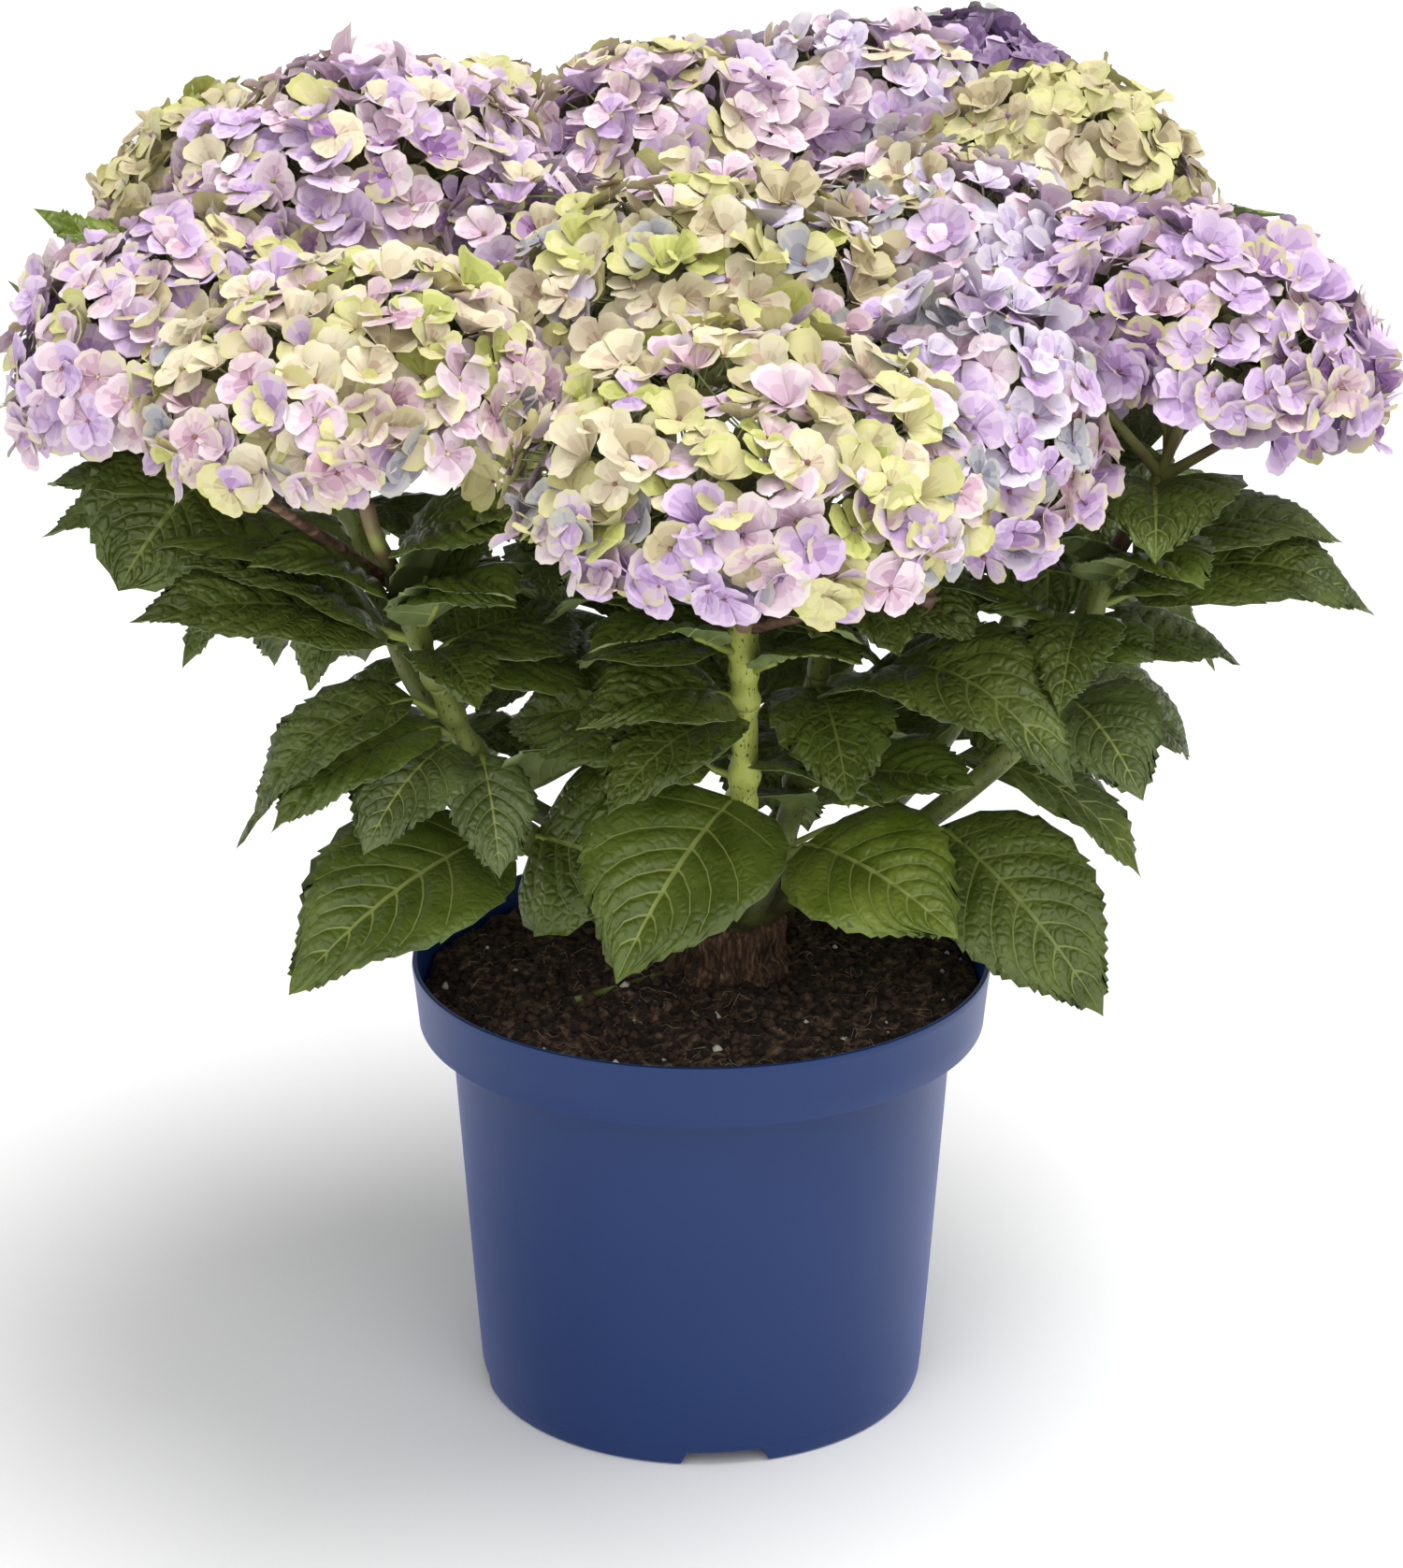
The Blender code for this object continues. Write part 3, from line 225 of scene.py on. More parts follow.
# Finer leaves between those of the solids, as rows of the same form
FINE_LEAVES = (
    ("head_left", 0.405, (-0.237, -0.050, 0.409), 0.020, 0.060, -10, 0.08, "mid"),
    ("cane_left", 0.394, (-0.066, -0.165, 0.458), 0.012, 0.050, 14, 0.14, "fresh"),
    ("cane_left_back", 0.352, (-0.175, 0.030, 0.319), 0.014, 0.048, 0, 0.10, "mid"),
    ("cane_left", 0.352, (-0.074, -0.020, 0.376), 0.014, 0.060, 10, 0.10, "deep"),
    ("cane_back", 0.318, (-0.103, 0.060, 0.294), 0.014, 0.072, 0, 0.10, "grey"),
    ("cane_left", 0.288, (-0.033, -0.040, 0.312), 0.010, 0.080, -24, 0.10, "mid"),
    ("cane_front", 0.388, (-0.060, -0.050, 0.389), 0.022, 0.074, 10, 0.12, "deep"),
    ("cane_back", 0.300, (0.019, 0.050, 0.297), 0.014, 0.070, 0, 0.12, "deep"),
    ("cane_front_right", 0.296, (0.001, -0.010, 0.303), 0.012, 0.062, 0, 0.12, "deep"),
    ("cane_back_right", 0.268, (0.018, 0.040, 0.256), 0.012, 0.060, 0, 0.12, "deep"),
    ("cane_front_right", 0.326, (0.107, -0.020, 0.329), 0.012, 0.070, 0, 0.12, "deep"),
    ("cane_front_right", 0.386, (0.115, -0.090, 0.381), 0.016, 0.056, 10, 0.14, "deep"),
    ("cane_right", 0.366, (0.112, -0.070, 0.390), 0.012, 0.058, -6, 0.12, "mid"),
    ("cane_right", 0.397, (0.118, -0.090, 0.418), 0.012, 0.056, 0, 0.14, "deep"),
    ("head_right", 0.432, (0.183, -0.135, 0.429), 0.010, 0.076, 0, 0.14, "deep"),
    ("head_right", 0.424, (0.156, -0.010, 0.455), 0.012, 0.050, 0, 0.10, "deep"),
    ("cane_right", 0.394, (0.276, -0.020, 0.403), 0.018, 0.060, 10, 0.16, "deep"),
    ("cane_left", 0.324, (-0.183, -0.085, 0.294), 0.016, 0.046, -10, 0.12, "mid"),
    ("head_left", 0.428, (-0.280, -0.020, 0.429), 0.012, 0.054, -8, 0.06, "mid"),
    ("head_left_back", 0.452, (-0.293, 0.066, 0.530), 0.020, 0.046, -50, 0.04, "fresh"),
    ("cane_right", 0.358, (0.197, -0.040, 0.357), 0.010, 0.046, 10, 0.12, "mid"),
    ("cane_front_right", 0.262, (0.072, -0.020, 0.273), 0.034, 0.018, 0, 0.10, "fresh"),
    ("cane_left", 0.394, (-0.075, -0.125, 0.407), 0.012, 0.048, 10, 0.14, "mid"),
    ("cane_left", 0.397, (-0.184, -0.130, 0.426), 0.014, 0.050, -26, 0.16, "mid"),
    ("cane_left_back", 0.330, (-0.137, 0.020, 0.344), 0.010, 0.050, 0, 0.10, "deep"),
    ("cane_right", 0.384, (0.213, -0.060, 0.391), 0.012, 0.050, 0, 0.12, "deep"),
    ("cane_back_right", 0.340, (0.110, 0.060, 0.344), 0.014, 0.070, 0, 0.10, "deep"),
    ("cane_back", 0.360, (-0.081, 0.100, 0.363), 0.014, 0.070, 0, 0.10, "deep"),
    ("cane_front", 0.318, (-0.050, -0.010, 0.312), 0.012, 0.064, -14, 0.12, "deep"),
    ("cane_left", 0.366, (-0.052, -0.020, 0.366), 0.014, 0.070, 12, 0.10, "deep"),
    ("cane_left", 0.374, (-0.216, -0.096, 0.416), 0.018, 0.052, -14, 0.12, "deep"),
    ("head_front", 0.410, (-0.058, -0.110, 0.424), 0.014, 0.052, 10, 0.12, "deep"),
    ("cane_left_back", 0.342, (-0.062, 0.030, 0.330), 0.014, 0.078, 0, 0.10, "deep"),
    ("cane_back", 0.342, (-0.074, 0.050, 0.346), 0.014, 0.076, 0, 0.10, "deep"),
    ("cane_right_back", 0.396, (0.152, 0.010, 0.350), 0.014, 0.078, 0, 0.12, "deep"),
    ("head_right", 0.440, (0.172, -0.020, 0.412), 0.012, 0.060, 0, 0.12, "deep"),
    ("cane_right_back", 0.330, (0.110, 0.030, 0.330), 0.012, 0.070, 0, 0.12, "deep"),
    ("cane_back_right", 0.318, (0.006, 0.050, 0.298), 0.014, 0.080, 0, 0.10, "deep"),
    ("cane_back", 0.330, (-0.016, 0.060, 0.330), 0.014, 0.076, 0, 0.10, "deep"),
    ("cane_front", 0.372, (-0.052, -0.060, 0.360), 0.012, 0.078, -8, 0.12, "deep"),
    ("cane_front", 0.390, (-0.050, -0.020, 0.392), 0.012, 0.070, 6, 0.12, "deep"),
    ("cane_left", 0.400, (-0.078, -0.060, 0.438), 0.012, 0.056, 8, 0.12, "deep"),
    ("cane_front_right", 0.384, (0.084, -0.110, 0.388), 0.012, 0.060, -8, 0.12, "deep"),
    ("head_lime", 0.486, (0.261, 0.100, 0.520), 0.024, 0.040, -24, 0.08, "fresh"),
    ("cane_front_right", 0.400, (0.146, -0.030, 0.366), 0.012, 0.066, 0, 0.08, "deep"),
    ("cane_front", 0.388, (0.079, -0.060, 0.357), 0.012, 0.058, 0, 0.08, "deep"),
    ("head_left", 0.430, (-0.246, -0.060, 0.394), 0.012, 0.080, -34, 0.12, "deep"),
    ("cane_front", 0.336, (-0.086, -0.020, 0.320), 0.014, 0.078, -30, 0.08, "deep"),
    ("cane_front", 0.394, (-0.068, -0.050, 0.376), 0.012, 0.056, 0, 0.12, "deep"),
    ("head_right", 0.446, (0.150, 0.000, 0.440), 0.012, 0.076, 0, 0.12, "deep"),
)

# Flower stalks in front of the leaves: limb, height on it, end, skin
BARE_STALKS = (
    ("cane_front", 0.386, (0.087, -0.150, 0.424), "brown"),
    ("head_left", 0.404, (-0.183, -0.135, 0.462), "brown"),
    ("head_right", 0.440, (0.167, -0.060, 0.474), "green"),
    ("head_right", 0.440, (0.203, -0.060, 0.478), "green"),
    ("head_right", 0.438, (0.219, -0.066, 0.462), "green"),
)

# Leaf pairs by rule on the canes behind: each pair spreads to both sides of its cane's outer side
PAIRED_CANES = ("cane_left_back", "cane_back", "cane_back_right", "cane_right_back")
PAIR_HEIGHTS = (0.275, 0.362, 0.388)
PAIR_REACH = (0.104, 0.094, 0.100)
PAIR_FALL = (0.042, 0.040, 0.016)
PAIR_SPREADS = (math.radians(36), math.radians(54), math.radians(38))
PAIR_STAGGER = (0.000, 0.010)
PAIR_WIDTH_SHARE = 0.58
PAIR_STALK = 0.018
PAIR_ARCH = 0.14
PAIR_JITTER = 0.06
PAIR_GAPS = {("cane_left_back", 2, 1), ("cane_right_back", 1, 1)}

# Small leaves by rule on the arms under the flower heads
ARM_LEAF_SHARES = (0.24, 0.46)
ARM_LEAF_LENGTH = (0.048, 0.066)
ARM_LEAF_WIDTH_SHARE = 0.56
ARM_LEAF_STALK = 0.009
ARM_LEAF_TURN = 1.2
ARM_LEAF_RISE = (-0.016, 0.004)
ARM_LEAF_ARCH = 0.08

# Hanging leaves by rule on the outer side of the canes behind
BACK_HEIGHTS = (0.312, 0.332, 0.352, 0.374, 0.392)
BACK_REACH = (0.072, 0.096)
BACK_FALL = (0.034, 0.060)
BACK_SPREADS = (math.radians(22), math.radians(60))
BACK_WIDTH_SHARE = 0.64
BACK_ROLL = math.radians(16)
BACK_TURN = 0.034
BACK_JITTER = 0.2
RULE_ARCH = 0.12

# Leaves by rule in the shade inside the crown
INNER_HEIGHTS = (0.296, 0.318, 0.342, 0.368, 0.392)
INNER_REACH = (0.058, 0.084)
INNER_WIDTH_SHARE = 0.66
INNER_LIMIT = 0.150
INNER_RISE = (-0.034, 0.0)
INNER_JITTER = 0.5

BLADE_FOLD = math.radians(14)
LEAF_STALK_RISE = math.radians(22)
LEAF_STALK_RADIUS = 0.0021
LEAF_STALK_BURY_SHARE = 0.14
LEAF_STALK_BEND = 0.4
LEAF_STALK_TAPER = 0.6

SPROUT = ((-0.0165, -0.0038, 0.1953), (-0.032, -0.014, 0.1950), (-0.056, -0.030, 0.1946))
SPROUT_RADIUS = 0.0024

# Loose clusters at the sides of heads: head, centre, half width, height, number of flowers
SIDE_CLUSTERS = (
    ("head_upper_left", (-0.079, 0.000, 0.528), 0.044, 0.036, 20),
    ("head_upper_left", (-0.122, -0.020, 0.508), 0.030, 0.026, 10),
    ("head_left", (-0.258, 0.002, 0.505), 0.034, 0.030, 14),
    ("head_left", (-0.268, -0.050, 0.462), 0.028, 0.020, 9),
    ("head_right", (0.264, -0.056, 0.464), 0.026, 0.020, 9),
    ("head_right", (0.222, -0.085, 0.474), 0.030, 0.020, 9),
    ("head_front_right", (0.122, -0.140, 0.438), 0.026, 0.022, 8),
    ("head_middle_right", (0.158, -0.020, 0.472), 0.034, 0.026, 12),
    ("head_top_middle", (-0.028, 0.128, 0.566), 0.034, 0.022, 11),
    ("head_violet", (0.098, 0.212, 0.560), 0.028, 0.018, 9),
    ("head_front", (-0.052, -0.214, 0.466), 0.026, 0.020, 7),
    ("head_front", (-0.074, -0.150, 0.474), 0.028, 0.022, 9),
)

# Sepal tints from the claw to the rim
TINTS = {
    "lilac": ("#a382b2", "#b99bc6", "#c9afd3", "#d5c0da", "#dccbda"),
    "lilac_lime": ("#a685b3", "#ba9cc5", "#cab1cd", "#d3c4c0", "#cfcaa0"),
    "purple_lime": ("#7c5088", "#946ca0", "#ae8cb4", "#c3b4a2", "#c6c486"),
    "mauve_cream": ("#b0869a", "#c6a3b2", "#d4bac2", "#dcccc2", "#ddd4b0"),
    "cream": ("#bda692", "#d0c0a6", "#dacfb2", "#e0d6ba", "#dcd6aa"),
    "cream_lime": ("#b8ab80", "#cbc292", "#d4ce9a", "#d0cc8e", "#c4c47c"),
    "lime": ("#959a4c", "#a9ac5a", "#b6b966", "#c1c275", "#c8c884"),
    "blue_white": ("#ac98bc", "#c4b6d0", "#d2c8d9", "#dcd4de", "#e0dadd"),
    "grey_blue": ("#787684", "#918f9b", "#a5a4a9", "#b4b2ad", "#bdbaa2"),
    "violet": ("#54405f", "#6c527b", "#836892", "#987fa3", "#ab94b2"),
    "pink_white": ("#ba94aa", "#ceb0c2", "#dac3cf", "#e2d2d8", "#e4d9d4"),
    "tan": ("#978868", "#ac9d7a", "#bbad8a", "#c6bb98", "#c4bc88"),
    # The shade tint is painted shade: the inner layer's dark, greenish flowers stand for the shadow deep
    # inside a head
    "shade": ("#3f4324", "#50522d", "#64633a", "#767348", "#848052"),
}
TINT_STEPS = 5

# Tints of each head as (tint, weight): those on its top, then those low on its sides
HEAD_TINTS = {
    "head_front": (
        (("cream_lime", 4), ("cream", 4), ("lime", 2), ("mauve_cream", 2), ("pink_white", 1), ("tan", 2)),
        (
            ("lilac_lime", 3), ("pink_white", 2), ("cream_lime", 3),
            ("lilac", 2), ("grey_blue", 2), ("lime", 1),
        ),
    ),
    "head_front_left": (
        (("cream_lime", 3), ("cream", 4), ("lime", 2), ("mauve_cream", 2), ("tan", 1)),
        (("lilac_lime", 3), ("mauve_cream", 3), ("cream_lime", 2), ("grey_blue", 2), ("pink_white", 3)),
    ),
    "head_middle": (
        (("cream_lime", 4), ("cream", 5), ("lime", 2), ("tan", 1), ("pink_white", 1)),
        (("blue_white", 3), ("cream", 3), ("grey_blue", 2), ("pink_white", 2), ("tan", 2), ("cream_lime", 1)),
    ),
    "head_left": (
        (("lilac", 2), ("mauve_cream", 2), ("lilac_lime", 3), ("pink_white", 4), ("cream_lime", 2)),
        (("lilac", 3), ("lilac_lime", 3), ("cream_lime", 2), ("pink_white", 2), ("tan", 1)),
    ),
    "head_upper_left": (
        (("pink_white", 4), ("lilac", 2), ("cream", 3), ("cream_lime", 1)),
        (("lilac", 4), ("purple_lime", 2), ("lilac_lime", 3), ("pink_white", 3)),
    ),
    "head_top_middle": (
        (("pink_white", 4), ("mauve_cream", 1), ("lilac", 1), ("cream_lime", 2), ("cream", 2)),
        (("lilac", 3), ("purple_lime", 2), ("pink_white", 4), ("lilac_lime", 2)),
    ),
    "head_top_right": (
        (("blue_white", 3), ("pink_white", 3), ("cream", 1)),
        (("blue_white", 3), ("lilac", 4), ("pink_white", 2)),
    ),
    "head_violet": ((("violet", 6), ("grey_blue", 1)), (("violet", 5), ("lilac", 2))),
    "head_lime": (
        (("tan", 3), ("cream_lime", 4), ("cream", 1)),
        (("cream_lime", 3), ("purple_lime", 3), ("pink_white", 2), ("tan", 2)),
    ),
    "head_middle_right": (
        (("blue_white", 3), ("pink_white", 2), ("cream", 1), ("tan", 1), ("grey_blue", 1)),
        (("lilac", 4), ("blue_white", 1), ("mauve_cream", 2), ("grey_blue", 1)),
    ),
    "head_right": (
        (("lilac", 4), ("mauve_cream", 3), ("lilac_lime", 2), ("pink_white", 1)),
        (("lilac", 5), ("purple_lime", 3), ("lilac_lime", 3)),
    ),
    "head_front_right": (
        (("blue_white", 3), ("lilac", 3), ("pink_white", 1), ("grey_blue", 1)),
        (("lilac", 5), ("lilac_lime", 3), ("mauve_cream", 2), ("purple_lime", 2)),
    ),
    "head_left_back": (
        (("tan", 4), ("cream_lime", 4), ("lime", 1)),
        (("tan", 3), ("cream", 3), ("mauve_cream", 2)),
    ),
    "head_back_left": (
        (("cream", 3), ("cream_lime", 3), ("pink_white", 1)),
        (("lilac_lime", 3), ("mauve_cream", 3), ("cream", 2)),
    ),
    "head_back": (
        (("lilac", 3), ("pink_white", 3), ("cream", 1)),
        (("lilac", 4), ("lilac_lime", 3), ("mauve_cream", 1)),
    ),
    "head_back_right": (
        (("cream", 3), ("cream_lime", 3)),
        (("lilac_lime", 3), ("cream_lime", 2), ("mauve_cream", 2)),
    ),
}

# Sepal grids: rays out from the claw, and rows along them up to the rim
OUTER_GRID = (13, (0.48, 0.82, 1.00))
INNER_GRID = (7, (0.60, 1.00))
SEPAL_SPAN = math.radians(150)
SEPAL_HALF_WIDTH = 0.60
SEPALS = 4
VEIN_COUNT = 7
VEIN_HALF_WIDTH = 0.0060
# Blade grids: places from midrib to margin, and rows of relief between side veins
FINE_BLADE = ((0.026, 0.13, 0.32, 0.52, 0.70, 0.86, 1.00), (0.22, 0.50, 0.78))
PLAIN_BLADE = ((0.025, 0.40, 0.76, 1.00), (0.50,))

# Camera and lights: the lens was fitted to the pot's outline, in pixels of the photograph
FOCAL_PIXELS = 4673
IMAGE_HEIGHT = 1677
SENSOR_HEIGHT = 36
CAMERA_TILT = math.radians(70)
KEY_DIRECTION = (0.26, -0.02, 1.0)
FRONT_DIRECTION = (0.06, -1.0, 0.72)


def colour(code):
    """An sRGB hex code as the linear red, green, blue and alpha that a shader takes."""
    channels = [int(code[i : i + 2], 16) / 255 for i in (1, 3, 5)]
    return (*(c / 12.92 if c <= 0.04045 else ((c + 0.055) / 1.055) ** 2.4 for c in channels), 1.0)


def connect(node, inputs):
    """Fills a node's inputs: one given as a socket is linked, and any other is set."""
    for name, value in inputs.items():
        if isinstance(value, bpy.types.NodeSocket):
            node.id_data.links.new(value, node.inputs[name])
        else:
            node.inputs[name].default_value = value


def add_node(tree, kind, inputs=None, stops=(), **settings):
    """Adds a node with its settings, its links and a colour ramp's (position, hex colour) stops."""
    node = tree.nodes.new(kind)
    for name, value in settings.items():
        setattr(node, name, value)
    connect(node, inputs or {})
    if stops:
        elements = node.color_ramp.elements
        while len(elements) < len(stops):
            elements.new(0.5)
        for element, (position, code) in zip(elements, stops):
            element.position = position
            element.color = colour(code)
    return node


def new_material(name, **sockets):
    """A material with one Principled shader, and its sockets set by their names with _ for spaces."""
    made = bpy.data.materials.new(name)
    made.use_nodes = True
    shader = made.node_tree.nodes["Principled BSDF"]
    connect(shader, {socket.replace("_", " "): value for socket, value in sockets.items()})
    return made, made.node_tree, shader


def per_metre(millimetres):
    """A texture scale, in repeats per metre, whose features are this many millimetres wide."""
    return 1000 / millimetres


def mottled(name, millimetres, detail, stops, scale=(1, 1, 1), relief=None, **sockets):
    """A material whose colour follows blotches of a real size, and whose skin may rise with them.

    The relief is a strength and a depth in millimetres. The place where the blotches are read is
    returned with the material, for a pattern on top of them.
    """
    made, tree, shader = new_material(name, **sockets)
    place = add_node(tree, "ShaderNodeTexCoord").outputs["Object"]
    place = add_node(tree, "ShaderNodeMapping", {"Vector": place, "Scale": scale}).outputs["Vector"]
    inputs = {"Vector": place, "Scale": per_metre(millimetres), "Detail": detail}
    cloud = add_node(tree, "ShaderNodeTexNoise", inputs).outputs["Fac"]
    tone = add_node(tree, "ShaderNodeValToRGB", {"Fac": cloud}, stops).outputs["Color"]
    connect(shader, {"Base Color": tone})
    if relief:
        inputs = {"Height": cloud, "Strength": relief[0], "Distance": relief[1] / 1000}
        connect(shader, {"Normal": add_node(tree, "ShaderNodeBump", inputs).outputs["Normal"]})
    return made, tree, shader, place


def moulded_polypropylene():
    """Injection moulded polypropylene: an even blue with a soft, slightly uneven gloss."""
    tint = bpy.context.scene.hydrangea_pot.plastic_colour
    made, tree, shader = new_material(
        "moulded_polypropylene",
        Roughness=0.36,
        IOR=1.45,
        Sheen_Weight=0.4,
        Sheen_Roughness=0.45,
        Sheen_Tint=colour("#3460cc"),
    )
    place = add_node(tree, "ShaderNodeTexCoord").outputs["Object"]
    # Flow marks of the moulding, about 60 mm long, shift the blue a little
    inputs = {"Vector": place, "Scale": per_metre(60), "Detail": 3.0}
    flow = add_node(tree, "ShaderNodeTexNoise", inputs).outputs["Fac"]
    light = (tint[0] * 1.06, tint[1] * 1.06, tint[2] * 1.04, 1)
    dark = (tint[0] * 0.88, tint[1] * 0.88, tint[2] * 0.90, 1)
    inputs = {"Factor": flow, "A": light, "B": dark}
    tone = add_node(tree, "ShaderNodeMix", inputs, data_type="RGBA").outputs["Result"]
    inputs = {"Value": flow, "To Min": 0.30, "To Max": 0.44}
    gloss = add_node(tree, "ShaderNodeMapRange", inputs).outputs["Result"]
    # The tool's spark-eroded skin, drawn at 0.9 mm so that it shows
    inputs = {"Vector": place, "Scale": per_metre(0.9)}
    grain = add_node(tree, "ShaderNodeTexNoise", inputs).outputs["Fac"]
    inputs = {"Height": grain, "Strength": 0.12, "Distance": 0.10 / 1000}
    skin = add_node(tree, "ShaderNodeBump", inputs).outputs["Normal"]
    connect(shader, {"Base Color": tone, "Roughness": gloss, "Normal": skin})
    return made


def potting_mix():
    """Damp peat and composted bark: nearly black between crumbs, with brown fibre."""
    return mottled(
        "potting_mix",
        5,
        8.0,
        ((0.30, "#0b0704"), (0.45, "#251910"), (0.56, "#4c3a2b"), (0.70, "#7a6450")),
        relief=(0.9, 1.6),
        Roughness=0.95,
    )[0]


def fibrous_old_stem():
    """Weathered stem base: grey-brown bark that splits into long fibres, about 2 mm wide."""
    return mottled(
        "fibrous_old_stem",
        1.8,
        6.0,
        ((0.30, "#1d120a"), (0.45, "#402c1d"), (0.58, "#644934"), (0.74, "#8f7355")),
        scale=(1, 1, 0.16),
        relief=(1.0, 1.4),
        Roughness=0.88,
    )[0]


def green_bark(name, tones, fleck_size):
    """Skin of a cane, browner low down where it is older, with long brown lenticels."""
    made, tree, shader = new_material(name, Roughness=0.50)
    place = add_node(tree, "ShaderNodeTexCoord").outputs["Object"]
    # The skin is browner where it is older, low on the cane
    height = add_node(tree, "ShaderNodeSeparateXYZ", {"Vector": place}).outputs["Z"]
    inputs = {"Value": height, "From Min": 0.215, "From Max": 0.330, "To Max": 0.62}
    age = add_node(tree, "ShaderNodeMapRange", inputs).outputs["Result"]
    inputs = {"Vector": place, "Scale": per_metre(14), "Detail": 3.0}
    cloud = add_node(tree, "ShaderNodeTexNoise", inputs).outputs["Fac"]
    mixed_age = add_node(tree, "ShaderNodeMath", {0: age, 1: cloud}, operation="ADD").outputs["Value"]
    stops = tuple(zip((0.36, 0.58, 0.80, 0.96), tones))
    skin = add_node(tree, "ShaderNodeValToRGB", {"Fac": mixed_age}, stops).outputs["Color"]
    # Lenticels a little over 1 mm wide and 4 mm long
    place = add_node(tree, "ShaderNodeMapping", {"Vector": place, "Scale": (1, 1, 0.30)}).outputs["Vector"]
    inputs = {"Vector": place, "Scale": per_metre(fleck_size), "Detail": 3.0}
    fleck = add_node(tree, "ShaderNodeTexNoise", inputs).outputs["Fac"]
    inputs = {"Value": fleck, "From Min": 0.62, "From Max": 0.67}
    spot = add_node(tree, "ShaderNodeMapRange", inputs).outputs["Result"]
    inputs = {"Factor": spot, "A": skin, "B": colour("#33251a")}
    tone = add_node(tree, "ShaderNodeMix", inputs, data_type="RGBA").outputs["Result"]
    inputs = {"Height": fleck, "Strength": 0.5, "Distance": 0.5 / 1000}
    ridges = add_node(tree, "ShaderNodeBump", inputs).outputs["Normal"]
    connect(shader, {"Base Color": tone, "Normal": ridges})
    return made


def young_shoot_skin():
    """Skin of the young shoot on the soil: fresh green, with paler blotches."""
    stops = ((0.36, "#4c5a22"), (0.54, "#6f7f38"), (0.72, "#a9b080"))
    return mottled("young_shoot_skin", 9, 2.0, stops, Roughness=0.45)[0]


def flower_stalk_skin():
    """Skin of the stalks under the flower heads: pale green, flushed brown-mauve in places."""
    stops = ((0.36, "#6d5242"), (0.50, "#857a4e"), (0.62, "#949a54"), (0.80, "#aab068"))
    return mottled("flower_stalk_skin", 26, 2.0, stops, Roughness=0.50)[0]


def brown_stalk_skin():
    """Skin of an old bare flower stalk: dry, dull brown with paler streaks along it."""
    return mottled(
        "brown_stalk_skin",
        3,
        4.0,
        ((0.34, "#4a3527"), (0.54, "#735744"), (0.74, "#9a7f66")),
        scale=(0.4, 1, 1),
        relief=(0.5, 0.4),
        Roughness=0.75,
    )[0]


def waxy_leaf(name, dark, light, pucker_height):
    """Upper side of a leaf: a waxy green skin, puckered by millimetres between its finest veins."""
    stops = ((0.34, dark), (0.66, light))
    made, tree, shader, place = mottled(name, 24, 3.0, stops, Roughness=0.36, IOR=1.45)
    # Puckers between the finest veins, about 5 mm across, with a crease along each vein
    inputs = {"Vector": place, "Scale": per_metre(5.0)}
    pucker = add_node(tree, "ShaderNodeTexVoronoi", inputs, feature="DISTANCE_TO_EDGE")
    inputs = {"Value": pucker.outputs["Distance"], "From Max": 0.30}
    dome = add_node(tree, "ShaderNodeMapRange", inputs, interpolation_type="SMOOTHSTEP").outputs["Result"]
    inputs = {"Height": dome, "Strength": 1.0, "Distance": pucker_height / 1000}
    connect(shader, {"Normal": add_node(tree, "ShaderNodeBump", inputs).outputs["Normal"]})
    return made


def leaf_underside():
    """Underside of a leaf: a paler, duller green."""
    stops = ((0.34, "#5c6a38"), (0.66, "#7a8755"))
    return mottled("leaf_underside", 18, 3.0, stops, Roughness=0.62)[0]


def plain(name, code, roughness=0.6, **sockets):
    """A plain material for one of many small pieces, which takes its place in a pattern of them."""
    return new_material(name, Base_Color=colour(code), Roughness=roughness, **sockets)[0]


def sepal_materials():
    """One plain material for each step of each tint: a dry, thin petal with a faint sheen."""
    return [
        plain(f"sepal_{tint}_{step}", code, 0.62, Sheen_Weight=0.15, Specular_IOR_Level=0.3)
        for tint, steps in TINTS.items()
        for step, code in enumerate(steps)
    ]


def matt_paper():
    """Seamless white backdrop paper."""
    return plain("matt_paper", "#f7f7f7", 0.9)


def step_out(azimuth, reach=1.0, rise=0.0):
    """The step this far out at an azimuth, and this far up."""
    return Vector((math.cos(azimuth) * reach, math.sin(azimuth) * reach, rise))


